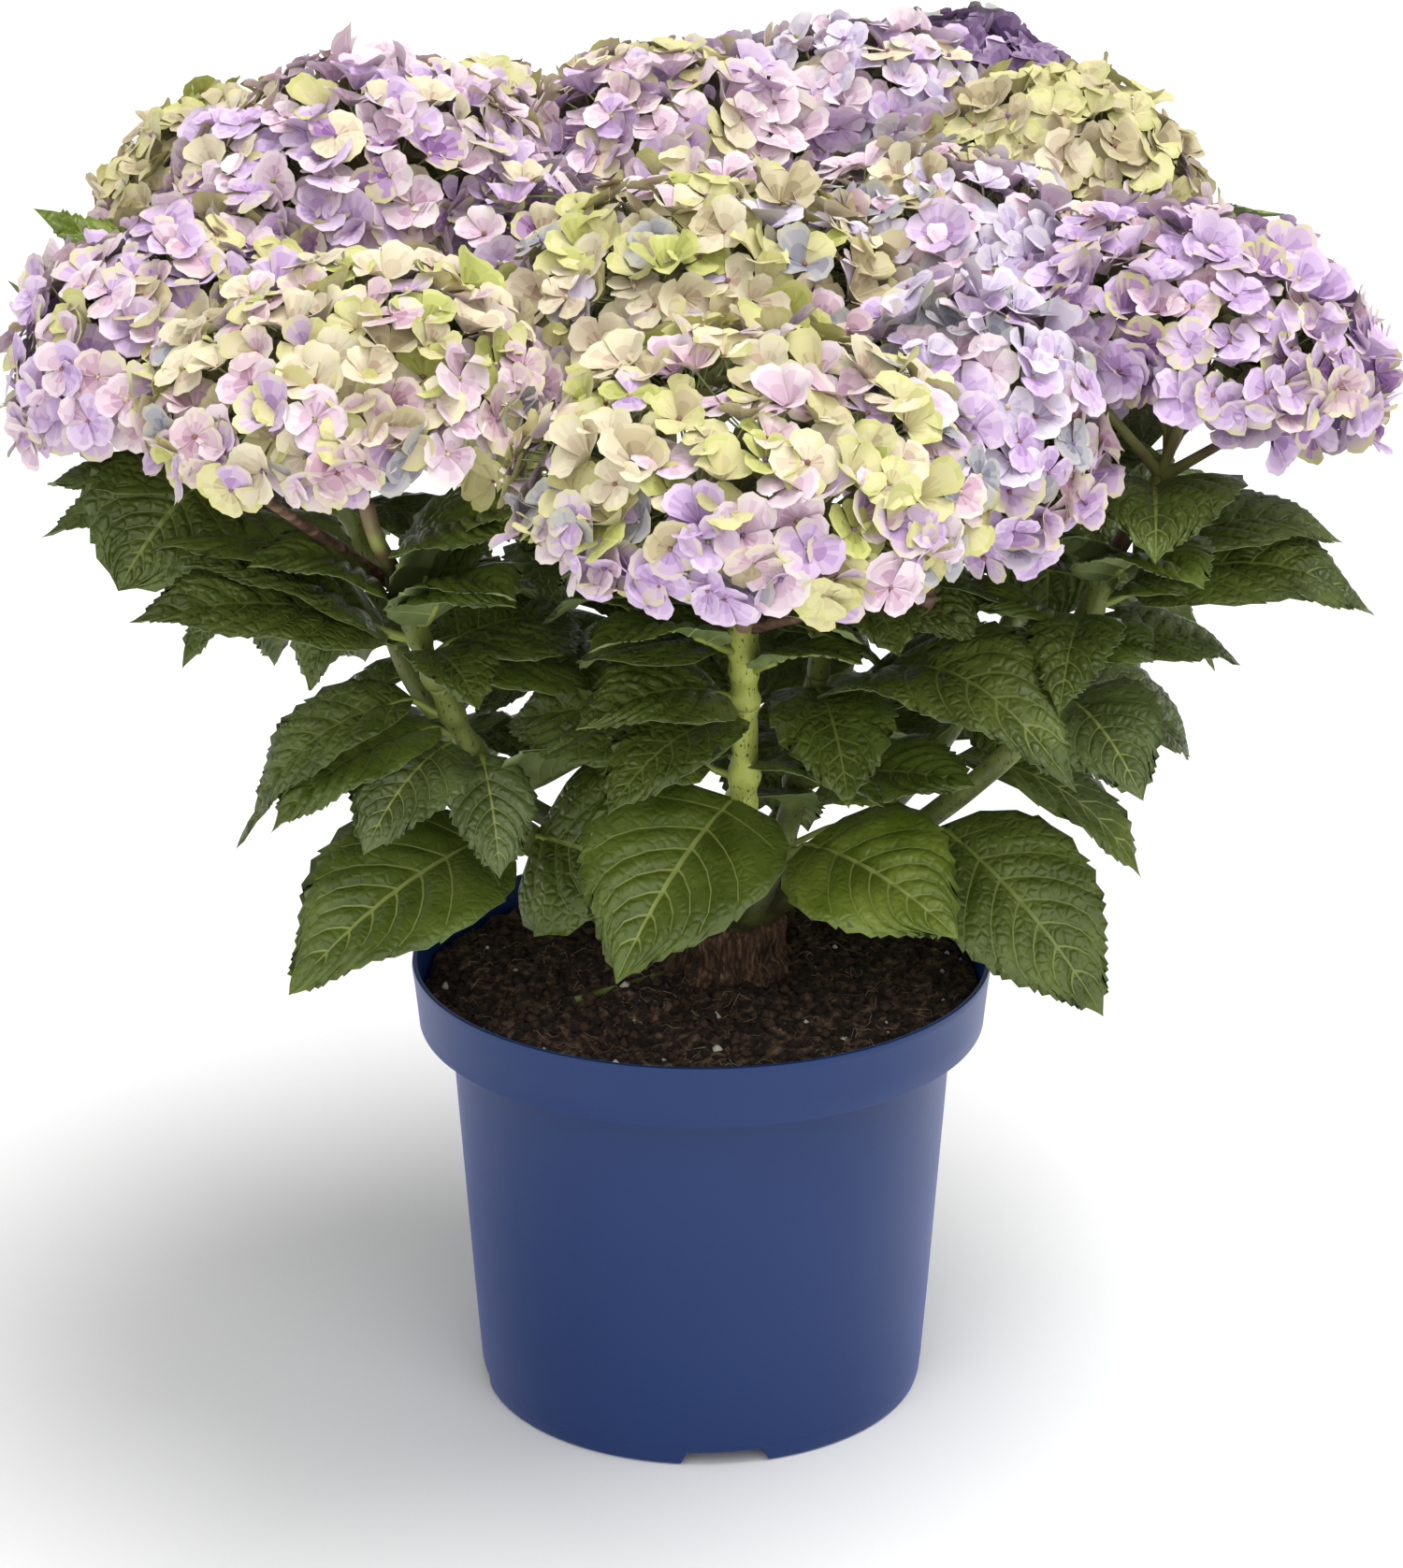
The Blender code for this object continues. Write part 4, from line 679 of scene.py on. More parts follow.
class Gather:
    """Collects patches of points and faces, each face with a material number, for one mesh."""

    def __init__(self):
        self.points = []
        self.faces = {3: [], 4: []}
        self.shades = {3: [], 4: []}
        self.count = 0

    def add(self, points, faces, shades):
        """Points as an array, faces as an array of 3 or 4 columns, and a shade for all or for each."""
        width = faces.shape[1]
        self.faces[width].append(faces + self.count)
        self.shades[width].append(np.broadcast_to(shades, len(faces)))
        if points is not None:
            self.points.append(points)

    def close(self):
        """Ends a patch, so that the next one counts its points from its own first."""
        self.count = sum(len(points) for points in self.points)

    def build(self, name, materials):
        """The mesh object of all that was collected."""
        widths = [width for width in (3, 4) if self.faces[width]]
        faces = [np.concatenate(self.faces[width]) for width in widths]
        shades = np.concatenate([np.concatenate(self.shades[width]) for width in widths])
        totals = np.concatenate([np.full(len(face), face.shape[1]) for face in faces])
        corners = np.concatenate([face.ravel() for face in faces])
        points = np.concatenate(self.points).astype(np.float32)
        used = np.unique(shades)
        mesh = bpy.data.meshes.new(name)
        mesh.vertices.add(len(points))
        mesh.vertices.foreach_set("co", points.ravel())
        mesh.loops.add(len(corners))
        mesh.loops.foreach_set("vertex_index", corners.astype(np.int32))
        mesh.polygons.add(len(totals))
        starts = np.concatenate([[0], np.cumsum(totals)[:-1]])
        mesh.polygons.foreach_set("loop_start", starts.astype(np.int32))
        for number in used:
            mesh.materials.append(materials[number])
        mesh.update(calc_edges=True)
        mesh.polygons.foreach_set("material_index", np.searchsorted(used, shades).astype(np.int32))
        mesh.polygons.foreach_set("use_smooth", np.ones(len(totals), bool))
        mesh.update()
        made = bpy.data.objects.new(name, mesh)
        bpy.context.scene.collection.objects.link(made)
        return made


def placed_piece(piece, slot, *nodes):
    """A piece of the plant: it rides on the one body and stands for its nodes, which it hides; the slot is
    not used.
    """
    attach(piece, "root")
    if nodes:
        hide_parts(*nodes)
    return piece


def grid_faces(rows, columns, closed=False):
    """Quads of a grid of points kept row by row, closed round the columns or open."""
    across = columns if closed else columns - 1
    low = np.arange(rows - 1)[:, None] * columns
    here = np.arange(across)[None, :]
    after = (here + 1) % columns
    return np.stack([low + here, low + after, low + after + columns, low + here + columns], -1).reshape(-1, 4)


def fan_faces(start, count, middle):
    """Triangles from each side of a closed ring of points to one point."""
    here = np.arange(count)
    return np.stack([here + start, (here + 1) % count + start, np.full(count, middle)], -1)


def smooth_path(points, first_direction, steps):
    """Points along a smooth curve through the given ones, leaving the first in the given direction."""
    before = points[0] - first_direction * (points[1] - points[0]).length
    after = points[-1] * 2 - points[-2]
    knots = [before, *points, after]
    path = []
    for a, b, c, d in zip(knots, knots[1:], knots[2:], knots[3:]):
        for step in range(steps):
            t = step / steps
            bend = (c - a) * t + (a * 2 - b * 5 + c * 4 - d) * t**2 + (b * 3 - a - c * 3 + d) * t**3
            path.append(b + bend / 2)
    return [*path, points[-1]]


def bezier_path(a, b, c, d, steps):
    path = []
    for step in range(steps + 1):
        t = step / steps
        s = 1 - t
        path.append(a * s**3 + b * 3 * s * s * t + c * 3 * s * t * t + d * t**3)
    return path


def add_tube(gather, path, radii, sides, shade):
    """A closed tube along a path; radii may be numbers or functions of the angle round it."""
    directions = [path[1] - path[0], *(b - a for a, b in zip(path, path[2:])), path[-1] - path[-2]]
    side = directions[0].orthogonal().normalized()
    points = []
    for centre, direction, radius in zip(path, directions, radii):
        direction = direction.normalized()
        side = (side - direction * side.dot(direction)).normalized()
        other = direction.cross(side)
        for i in range(sides):
            turn = 2 * math.pi * i / sides
            size = radius(turn) if callable(radius) else radius
            points.append(centre + (side * math.cos(turn) + other * math.sin(turn)) * size)
    points += [path[0], path[-1]]
    rings = len(path)
    start = rings * sides
    gather.add(np.array(points), grid_faces(rings, sides, True), shade)
    gather.add(None, fan_faces(0, sides, start)[:, ::-1], shade)
    gather.add(None, fan_faces(start - sides, sides, start + 1), shade)
    gather.close()


def tapered(count, first, last):
    return [first + (last - first) * i / (count - 1) for i in range(count)]


def stump_base():
    return SOIL_CROWN_HEIGHT + GAP


def facet_azimuth(number):
    return FIRST_FACET_AZIMUTH + 2 * math.pi * number / STUMP_FACETS


def facet_seat(number):
    """Middle of one slanting facet of the stump and the facet's outward direction."""
    apothem = math.cos(math.pi / STUMP_FACETS)
    out = Vector((math.cos(facet_azimuth(number)), math.sin(facet_azimuth(number)), 0))
    low = STUMP_CENTRE + out * STUMP_SHOULDER_RADIUS * apothem
    low.z = stump_base() + STUMP_SHOULDER_RISE
    high = STUMP_CENTRE + out * STUMP_TOP_RADIUS * apothem
    high.z = stump_base() + STUMP_TOP_RISE
    along = (high - low).normalized()
    normal = out * along.z + Vector((0, 0, along.dot(-out)))
    return (low + high) / 2, normal.normalized()


def cane_path(name, steps=3):
    """The cane's centreline from its facet to its tip, and its direction at both ends."""
    facet, _, _, through = CANES[name]
    seat, normal = facet_seat(facet)
    start = seat + normal * GAP
    points = [start, start + normal * CANE_STRAIGHT, *map(Vector, through)]
    path = smooth_path(points, normal, steps)
    return path, normal, (path[-1] - path[-2]).normalized()


def shoot_path(name, steps=3):
    """The shoot's centreline, which goes on from its cane's tip to the fork."""
    path, _, direction = cane_path(name)
    start = path[-1] + direction * GAP
    points = [start, start + direction * SHOOT_STRAIGHT, Vector(FORKS[name])]
    return smooth_path(points, direction, steps)


def point_at_height(path, height):
    """The point where a rising path passes a height."""
    for low, high in zip(path, path[1:]):
        if low.z <= height <= high.z:
            return low.lerp(high, (height - low.z) / (high.z - low.z))
    return path[-1].copy()


def head_frame(name):
    """A head's centre, its axis, which leans away from the crown's middle, and its half sizes."""
    _, centre, half_width, height = HEADS[name]
    centre = Vector(centre)
    outward = Vector((centre.x, centre.y, 0))
    lean = HEAD_LEAN_PER_METRE * outward.length
    turn = Matrix.Rotation(lean, 3, Vector((0, 0, 1)).cross(outward.normalized()))
    return centre, turn, half_width, height


def dome_point(polar, azimuth, half_width, height):
    """A point of the dome in its own frame: round and high above its widest ring, shallow under it."""
    rise = height if polar <= math.pi / 2 else height * HEAD_UNDERSIDE_SHARE
    across = half_width * math.sin(polar)
    return Vector((across * math.cos(azimuth), across * math.sin(azimuth), rise * math.cos(polar)))


def dome_normal(point, half_width, height):
    rise = height if point.z >= 0 else height * HEAD_UNDERSIDE_SHARE
    flat = half_width * half_width
    return Vector((point.x / flat, point.y / flat, point.z / (rise * rise))).normalized()


def reach_towards(name, direction):
    """Distance from a head's centre to its surface in a world direction."""
    _, turn, half_width, height = head_frame(name)
    local = turn.transposed() @ direction
    return 1 / math.sqrt((local.x**2 + local.y**2) / half_width**2 + (local.z / height) ** 2)


def space_limits(name):
    """Planes, as (point, outward direction), that part this head's space from those of its neighbours."""
    centre = head_frame(name)[0]
    limits = []
    for other in HEADS:
        if other == name:
            continue
        apart = head_frame(other)[0] - centre
        direction = apart.normalized()
        own = reach_towards(name, direction)
        others = reach_towards(other, -direction)
        if own + others > apart.length - HEAD_SPACE_GAP:
            share = own / (own + others) * apart.length
            limits.append((centre + direction * (share - HEAD_SPACE_GAP / 2), direction))
    return limits


def pulled_inside(point, centre, limits):
    """The point, drawn towards the centre until no limit cuts it off."""
    share = 1.0
    for at, direction in limits:
        beyond = (point - centre).dot(direction)
        if beyond > 0:
            share = min(share, (at - centre).dot(direction) / beyond)
    return centre + (point - centre) * share


def arm_path(name, steps=5):
    """The centreline of the arm that carries one head, from inside the fork to the head's stalk."""
    stem = shoot_path(HEADS[name][0])
    direction = (stem[-1] - stem[-2]).normalized()
    centre, turn, _, height = head_frame(name)
    axis = turn @ Vector((0, 0, 1))
    foot = centre - axis * (height * FOOT_DROP_SHARE + GAP)
    start = stem[-1] - direction * ARM_BURY
    reach = (foot - start).length / 3
    return bezier_path(start, start + direction * reach, foot - axis * reach, foot, steps)


def cane_of(limb):
    """The cane that carries a limb."""
    return HEADS[limb][0] if limb in HEADS else limb


def limb_point(limb, height):
    """The centreline's point at a height, on a cane, on the shoot above it or on a head's arm."""
    if limb in HEADS:
        return point_at_height(arm_path(limb), height)
    path = cane_path(limb)[0]
    if height > path[-1].z:
        path = shoot_path(limb)
    return point_at_height(path, height)


def blade_frame(base, tip, roll, arch):
    """The control point of a blade's arched midrib, and the direction across the blade."""
    chord = (tip - base).normalized()
    side = chord.cross(Vector((0, 0, 1))).normalized()
    side = Matrix.Rotation(roll, 3, chord) @ side
    return (base + tip) / 2 + side.cross(chord) * arch * (tip - base).length * 2, side


def blade_point(base, control, tip, along):
    """A point of a blade's midrib."""
    return base * (1 - along) ** 2 + control * 2 * along * (1 - along) + tip * along**2


def table_leaves(table):
    """The rows of a table of leaves, with each tip as a vector and each roll in radians."""
    return [
        (limb, height, Vector(tip), stalk, width, math.radians(roll), arch, tone)
        for limb, height, tip, stalk, width, roll, arch, tone in table
    ]


def leaf_places():
    """Every leaf as a row like those of LEAVES: first those, then the pairs by rule."""
    places = table_leaves(LEAVES)
    chance = random.Random(SEED)
    for cane in PAIRED_CANES:
        out = facet_azimuth(CANES[cane][0])
        for number, height in enumerate(PAIR_HEIGHTS):
            height += PAIR_STAGGER[CANES[cane][0] % 2]
            node = limb_point(cane, height)
            for way in (-1, 1):
                azimuth = out + way * PAIR_SPREADS[number] + chance.uniform(-PAIR_JITTER, PAIR_JITTER)
                reach = PAIR_REACH[number] * chance.uniform(1 - PAIR_JITTER, 1 + PAIR_JITTER)
                fall = PAIR_FALL[number] + way * chance.uniform(0, PAIR_JITTER) * reach
                tip = node + step_out(azimuth, reach, -fall)
                width = (reach - PAIR_STALK) * PAIR_WIDTH_SHARE
                if (cane, number, way) not in PAIR_GAPS:
                    tone = "mid" if number == 0 else "deep"
                    places.append((cane, height, tip, PAIR_STALK, width, 0, PAIR_ARCH, tone))
    return places


def fine_leaf_places():
    """The finer leaves: those of their own table, then those behind, inside and under the heads."""
    places = table_leaves(FINE_LEAVES)
    return places + back_leaf_places() + inner_leaf_places() + arm_leaf_places()


def back_leaf_places():
    """Leaves that hang on the outer side of the canes behind, by a seeded rule."""
    chance = random.Random(SEED + 8)
    places = []
    for cane in PAIRED_CANES:
        for number, height in enumerate(BACK_HEIGHTS):
            node = limb_point(cane, height)
            for way in (-1, 1):
                azimuth = facet_azimuth(CANES[cane][0]) + way * BACK_SPREADS[number % 2]
                azimuth += chance.uniform(-BACK_JITTER, BACK_JITTER)
                reach = chance.uniform(*BACK_REACH)
                fall = chance.uniform(*BACK_FALL)
                tip = node + step_out(azimuth, reach, -fall)
                tone = chance.choice(("deep", "mid"))
                width, roll = reach * BACK_WIDTH_SHARE, way * BACK_ROLL
                if tip.y > node.y + BACK_TURN:
                    places.append((cane, height, tip, ARM_LEAF_STALK, width, roll, RULE_ARCH, tone))
    return places


def inner_leaf_places():
    """Leaves in the shade inside the crown, in crossed pairs up every cane by a seeded rule."""
    chance = random.Random(SEED + 6)
    places = []
    for cane in CANES:
        for number, height in enumerate(INNER_HEIGHTS):
            node = limb_point(cane, height)
            for way in (0, math.pi):
                azimuth = facet_azimuth(CANES[cane][0]) + way + (number % 2) * math.pi / 2
                azimuth += chance.uniform(-INNER_JITTER, INNER_JITTER)
                reach = chance.uniform(*INNER_REACH)
                rise = chance.uniform(*INNER_RISE)
                tip = node + step_out(azimuth, reach, rise)
                if math.hypot(tip.x, tip.y) < INNER_LIMIT:
                    width = reach * INNER_WIDTH_SHARE
                    places.append((cane, height, tip, ARM_LEAF_STALK, width, 0, RULE_ARCH, "deep"))
    return places


def arm_leaf_places():
    """Small leaves on the arms under the flower heads, by a seeded rule."""
    chance = random.Random(SEED + 1)
    places = []
    for name in HEADS:
        path = arm_path(name, 12)
        for number, share in enumerate(ARM_LEAF_SHARES):
            node = path[round(share * 12)]
            azimuth = math.atan2(node.y, node.x) + (2 * number - 1) * ARM_LEAF_TURN
            azimuth += chance.uniform(-INNER_JITTER, INNER_JITTER)
            reach = chance.uniform(*ARM_LEAF_LENGTH)
            rise = chance.uniform(*ARM_LEAF_RISE)
            tip = node + step_out(azimuth, reach, rise)
            width = reach * ARM_LEAF_WIDTH_SHARE
            places.append((name, node.z, tip, ARM_LEAF_STALK, width, 0, ARM_LEAF_ARCH, "deep"))
    return places


def outline_share(along):
    """Half width of a blade along its length, as a share of its greatest."""
    along = np.clip(along, 0, 1)
    return np.sin(np.pi * along**0.72) ** 0.75 * np.sqrt(1 - along**5)


def blade_rows(relief_rows):
    """Rows of a blade's grid, each (place on the midrib, side of its vein, puff), and its vein bands."""
    rows = [(0.0, 0, 0.0), (0.004, 0, 0.1), (0.012, 0, 0.2), (0.026, 0, 0.2)]
    veins = [False] * 4
    for number in range(VEIN_COUNT):
        middle = 0.050 + 0.86 * (number / VEIN_COUNT) ** 0.94
        after = 0.050 + 0.86 * ((number + 1) / VEIN_COUNT) ** 0.94
        rows += [(middle, -1, 0.0), (middle, 1, 0.0)]
        veins += [True, False]
        for share in relief_rows:
            rows.append((middle + (after - middle) * share, 0, math.sin(math.pi * share) ** 0.7))
            veins.append(False)
    rows += [(0.955, 0, 0.0), (0.982, 0, 0.0), (1.0, 0, 0.0)]
    veins += [False, False]
    return np.array(rows).T, np.array(veins)


def add_blade(gather, base, tip, width, roll, arch, shades, grid, chance):
    """A quilted, toothed leaf blade: an upper sheet and a paler lower sheet that meet at the margin."""
    settings = bpy.context.scene.hydrangea_leaves
    upper, under, vein_shade = shades
    control, side = blade_frame(base, tip, roll, arch)
    length = (tip - base).length
    half_columns, relief_rows = grid
    (along, vein_side, puff), vein_rows = blade_rows(relief_rows)
    across = np.array([-c for c in reversed(half_columns)] + list(half_columns))
    reach = np.abs(across)
    rows, columns = len(along), len(across)
    # Side veins leave the midrib at about 50 degrees and bend towards the tip
    sweep = (width / 2 * outline_share(along) / length)[:, None] * (0.72 * reach**1.15 + 0.28 * reach**2)
    taper = VEIN_HALF_WIDTH * vein_side[:, None] * (1 - 0.75 * reach)
    stagger = chance.uniform(-0.012, 0.012) * np.sign(across) * np.sin(np.pi * along)[:, None]
    u = np.clip(along[:, None] + sweep + taper + stagger, 0, 1)
    u[0], u[-1] = 0, 1
    half = width / 2 * outline_share(u)
    toothed = (np.arange(rows) % 2 == 1)[:, None] * (reach >= 0.999) * (half > 0.005)
    x = across * half + np.sign(across) * toothed * settings.tooth_length
    u = np.clip(u + toothed * 0.5 * settings.tooth_length / length, 0, 1)
    lobe = 0.05 * length * np.exp(-16 * along)[:, None] * reach**0.8
    phase = chance.uniform(0, 6.28)
    wave = 0.017 * length * np.sin(5.2 * np.pi * u + phase + np.sign(across)) * reach**2.2
    wave = wave * np.sin(np.pi * along)[:, None] ** 0.5
    relief = settings.quilt_depth * puff[:, None] * (1 - reach**4) * np.minimum(1, reach / 0.14)
    relief = relief * np.minimum(1, half / 0.012)
    fold = BLADE_FOLD * chance.uniform(0.6, 1.2)
    lift = np.abs(x) * math.sin(fold) + relief + wave - 0.12 * reach**3 * half
    a, b, c = (np.array(point) for point in (base, control, tip))
    t = u[..., None]
    spine = a * (1 - t) ** 2 + b * 2 * t * (1 - t) + c * t**2
    tangent = unit((b - a) * (1 - t) + (c - b) * t)
    turn = chance.uniform(-0.30, 0.30) * t
    level = np.cross(np.array(side), tangent)
    sideways = np.array(side) * np.cos(turn) + level * np.sin(turn)
    normal = np.cross(sideways, tangent)
    top = spine + sideways * (x * math.cos(fold))[..., None]
    top = top + normal * lift[..., None] - tangent * lobe[..., None]
    skin = settings.blade_thickness * (1 + 0.6 * (1 - reach)) + 0.0007 * (reach < 0.05)
    skin = skin + 0.0004 * (puff == 0)[:, None] * (reach < 0.9)
    skin = np.where(reach >= 0.999, 0.00035, skin) * np.minimum(1, half / 0.003)
    bottom = top - normal * skin[..., None]
    marks = np.where(vein_rows[:, None] & (reach[:-1] + reach[1:] < 1.7), vein_shade, upper)
    sheets = np.concatenate([top.reshape(-1, 3), bottom.reshape(-1, 3)])
    gather.add(sheets, *blade_faces(rows, columns, marks, vein_shade))
    marks = np.where(vein_rows[:, None] & (reach[1:] > 0), vein_shade, under)
    faces, marks = blade_faces(rows, columns, marks, vein_shade)
    gather.add(None, faces[:, ::-1] + rows * columns, marks)
    for edge in (0, columns - 1):
        rim = np.arange(rows - 1) * columns + edge
        far = rim + rows * columns
        band = np.stack([rim, far, far + columns, rim + columns], -1)
        gather.add(None, band if edge else band[:, ::-1], under)
    gather.close()


def blade_faces(rows, columns, marks, midrib_shade):
    """One side of a blade: its quads and their shades, with the midrib's band in its own."""
    marks = marks.copy()
    marks[:, columns // 2 - 1] = midrib_shade
    return grid_faces(rows, columns), marks.ravel()


def leaf_stalk_path(place, start, first_direction):
    """A leaf's base point, and the path of its stalk from the start point into the blade."""
    _, _, tip, stalk, _, roll, arch, _ = place
    flat = Vector((tip.x - start.x, tip.y - start.y, 0)).normalized()
    rise = Vector((0, 0, math.sin(LEAF_STALK_RISE)))
    base = start + (flat * math.cos(LEAF_STALK_RISE) + rise) * stalk
    control, _ = blade_frame(base, tip, roll, arch)
    along = (control - base).normalized()
    into = blade_point(base, control, tip, LEAF_STALK_BURY_SHARE)
    into -= Vector((0, 0, 0.0012))
    bend = stalk * LEAF_STALK_BEND
    path = bezier_path(start, start + first_direction * bend, base - along * bend, base, 6)
    return base, [*path, into]


def cane_seat(tree, node, tip):
    """The place on a cane's side that faces a leaf's tip, just clear of it, and the side's direction."""
    flat = Vector((tip.x - node.x, tip.y - node.y, 0)).normalized()
    far = node + flat * 0.05
    hit, normal, _, _ = tree.ray_cast(far, -flat)
    return hit + normal * GAP, normal


def tree_of(thing):
    """A search tree over a mesh object that sits at the origin."""
    mesh = thing.data
    return BVHTree.FromPolygons([v.co[:] for v in mesh.vertices], [p.vertices[:] for p in mesh.polygons])


def blade_plate(base, tip, width, roll, arch):
    """A coarse sheet in a blade's place, for finding what it would touch."""
    control, side = blade_frame(base, tip, roll, arch)
    points = []
    for along in (0.05, 0.3, 0.55, 0.8, 0.97):
        middle = blade_point(base, control, tip, along)
        half = width / 2 * float(outline_share(np.array(along)))
        points += [middle - side * half, middle, middle + side * half]
    faces = [tuple(face) for face in grid_faces(5, 3)]
    return BVHTree.FromPolygons(points, faces)


def soil_height(radius):
    """Height of the solid soil's smooth top at this distance from the pot's axis."""
    share = min(radius / (COLLAR_RADIUS - WALL), 1)
    return SOIL_CROWN_HEIGHT + (SOIL_EDGE_HEIGHT - SOIL_CROWN_HEIGHT) * share**2


def soil_relief(x, y):
    """Height of the loose top of the soil at a place."""
    coarse = noise.fractal(Vector((x * 42, y * 42, 0.3)), 0.9, 2.1, 3)
    lumps = abs(noise.noise(Vector((x * 130, y * 130, 2.2))))
    fine = noise.fractal(Vector((x * 300, y * 300, 4.1)), 0.8, 2.1, 3)
    return soil_height(math.hypot(x, y)) + 0.0026 + 0.0022 * coarse + 0.0052 * lumps + 0.0020 * fine


def unit(vectors):
    """Many directions, each made one long."""
    return vectors / np.linalg.norm(vectors, axis=-1, keepdims=True)


def across_directions(normals):
    """Two directions square to each of many directions."""
    helper = np.where(np.abs(normals[:, :1]) < 0.8, np.array([[1.0, 0, 0]]), np.array([[0, 1.0, 0]]))
    side = unit(np.cross(normals, helper))
    return side, np.cross(normals, side)


def add_stalks(gather, starts, mids, ends, radius, shade):
    """Many thin three-sided stalks, each through three points."""
    stations = np.stack([starts, mids, ends], 1)
    side, other = across_directions(unit(ends - starts))
    turns = np.arange(3) * 2 * math.pi / 3
    ring = side[:, None, :] * np.cos(turns)[None, :, None] + other[:, None, :] * np.sin(turns)[None, :, None]
    points = (stations[:, :, None, :] + ring[:, None, :, :] * radius).reshape(-1, 3)
    faces = grid_faces(3, 3, True)
    starts_at = np.arange(len(starts)) * 9
    gather.add(points, (faces[None] + starts_at[:, None, None]).reshape(-1, 4), shade)
    gather.close()


def add_florets(gather, eyes, centres, normals, sizes, openness, tints, grid, chance):
    """Many four-sepalled flowers at once: cupped, overlapping sepals, and an eye in each middle."""
    count = len(centres)
    side, other = across_directions(normals)
    rays, rows = grid
    # The rays stand closer together towards the rounded tip than at the claw
    spread = np.linspace(-1, 1, rays)
    phi = SEPAL_SPAN * np.sign(spread) * np.abs(spread) ** 1.25
    teeth = 1 + 0.022 * np.where(np.arange(rays) % 2 == 0, 1, -1)
    shares = np.array(rows)[:, None] * np.ones(rays)
    shares[-1] *= teeth
    out = 0.5 + 0.5 * np.cos(phi)
    x0 = shares * out
    y0 = shares * SEPAL_HALF_WIDTH * np.sin(phi) * (0.45 + 0.55 * np.minimum(1, out / 0.55))

    def draw(low, high):
        return chance.uniform(low, high, (count, SEPALS))[..., None, None]

    first = chance.uniform(0, 2 * np.pi, (count, 1))
    angle = first + np.arange(SEPALS) * 2 * np.pi / SEPALS + chance.uniform(-0.14, 0.14, (count, SEPALS))
    length = (sizes[:, None] * chance.uniform(0.88, 1.10, (count, SEPALS)))[..., None, None]
    rise = np.tan(np.radians(openness[:, None] + chance.uniform(-9, 9, (count, SEPALS))))[..., None, None]
    cupped = np.clip((openness - 20) / 30, -0.2, 1)[:, None, None, None]
    x = x0 * length
    y = y0 * length * draw(0.94, 1.14)
    lift = rise * x0 * (1 - x0 * draw(0.25, 0.60))
    bowl = (0.10 + 0.55 * cupped + draw(-0.25, 0.20)) * y0**2
    z = length * (lift + bowl)
    z += y * np.tan(draw(0.08, 0.24))
    z += length * draw(0.015, 0.050) * np.sin(3 * phi + draw(0, 6.28)) * shares**2
    claws = np.zeros((count, SEPALS, 1))
    x = np.concatenate([claws, x.reshape(count, SEPALS, -1)], 2) + 0.0006
    y = np.concatenate([claws, y.reshape(count, SEPALS, -1)], 2)
    z = np.concatenate([claws, z.reshape(count, SEPALS, -1)], 2)
    z += 0.0004 * (np.arange(SEPALS) % 2)[None, :, None]
    cos, sin = np.cos(angle)[..., None], np.sin(angle)[..., None]
    along = (x * cos - y * sin)[..., None] * side[:, None, None, :]
    sideways = (x * sin + y * cos)[..., None] * other[:, None, None, :]
    points = centres[:, None, None, :] + along + sideways + z[..., None] * normals[:, None, None, :]
    per_sepal = 1 + len(rows) * rays
    offsets = (np.arange(count * SEPALS) * per_sepal)[:, None, None]
    cells = rays - 1
    fan = np.stack([np.zeros(cells, int), 1 + np.arange(cells), 2 + np.arange(cells)], -1)
    quads = grid_faces(len(rows), rays)[:, ::-1] + 1
    # A tint's steps run from claw to rim, further on one side of the sepal, with an uneven edge between them
    bleed = chance.uniform(-0.7, 0.9, (count, SEPALS, 1, 1))
    slant = chance.uniform(-0.9, 0.9, (count, SEPALS, 1, 1)) * np.linspace(-1, 1, cells)
    mottle = chance.uniform(-0.55, 0.55, (count, SEPALS, len(rows), cells))
    steps = np.linspace(0.9, TINT_STEPS - 1.9, len(rows))[:, None] + bleed + slant + mottle
    steps = np.clip(steps.round().astype(int), 0, TINT_STEPS - 1)
    swapped = chance.random((count, SEPALS)) < 0.16
    sepal_tint = np.where(swapped, np.roll(tints, 1)[:, None], tints[:, None])
    shades = steps + sepal_tint[..., None, None] * TINT_STEPS
    gather.add(points.reshape(-1, 3), (fan[None] + offsets).reshape(-1, 3), shades[:, :, 0].ravel())
    gather.add(None, (quads[None] + offsets).reshape(-1, 4), shades[:, :, 1:].reshape(-1))
    gather.close()
    turns = np.arange(5) * 2 * np.pi / 5
    ring = side[:, None, :] * np.cos(turns)[None, :, None] + other[:, None, :] * np.sin(turns)[None, :, None]
    size = chance.uniform(0.0007, 0.0012, count)[:, None, None]
    base = centres[:, None, :] + ring * size
    shoulder = base + normals[:, None, :] * size * 1.3
    top = centres[:, None, :] + normals[:, None, :] * size * 2.0
    dots = np.concatenate([base, shoulder, top], 1).reshape(-1, 3)
    at = (np.arange(count) * 11)[:, None, None]
    here = np.arange(5)
    after = (here + 1) % 5
    sides = np.stack([here, after, after + 5, here + 5], -1)
    caps = np.stack([here + 5, after + 5, np.full(5, 10)], -1)
    eye_shades = np.repeat(chance.choice([0, 0, 1, 2, 3], count), 5)
    eyes.add(dots, (sides[None] + at).reshape(-1, 4), eye_shades)
    eyes.add(None, (caps[None] + at).reshape(-1, 3), eye_shades)
    eyes.close()


def chosen_tints(name, heights, chance):
    """A tint number for each flower of a head, by its height on the dome."""
    numbers = {tint: number for number, tint in enumerate(TINTS)}
    top, low = HEAD_TINTS[name]
    picked = np.zeros(len(heights), int)
    blend = np.clip(heights + chance.normal(0, 0.18, len(heights)), 0, 1)
    for number, share in enumerate(blend):
        row = top if chance.random() < share else low
        weights = np.array([weight for _, weight in row], float)
        pick = chance.choice(len(row), p=weights / weights.sum())
        picked[number] = numbers[row[pick][0]]
    return picked


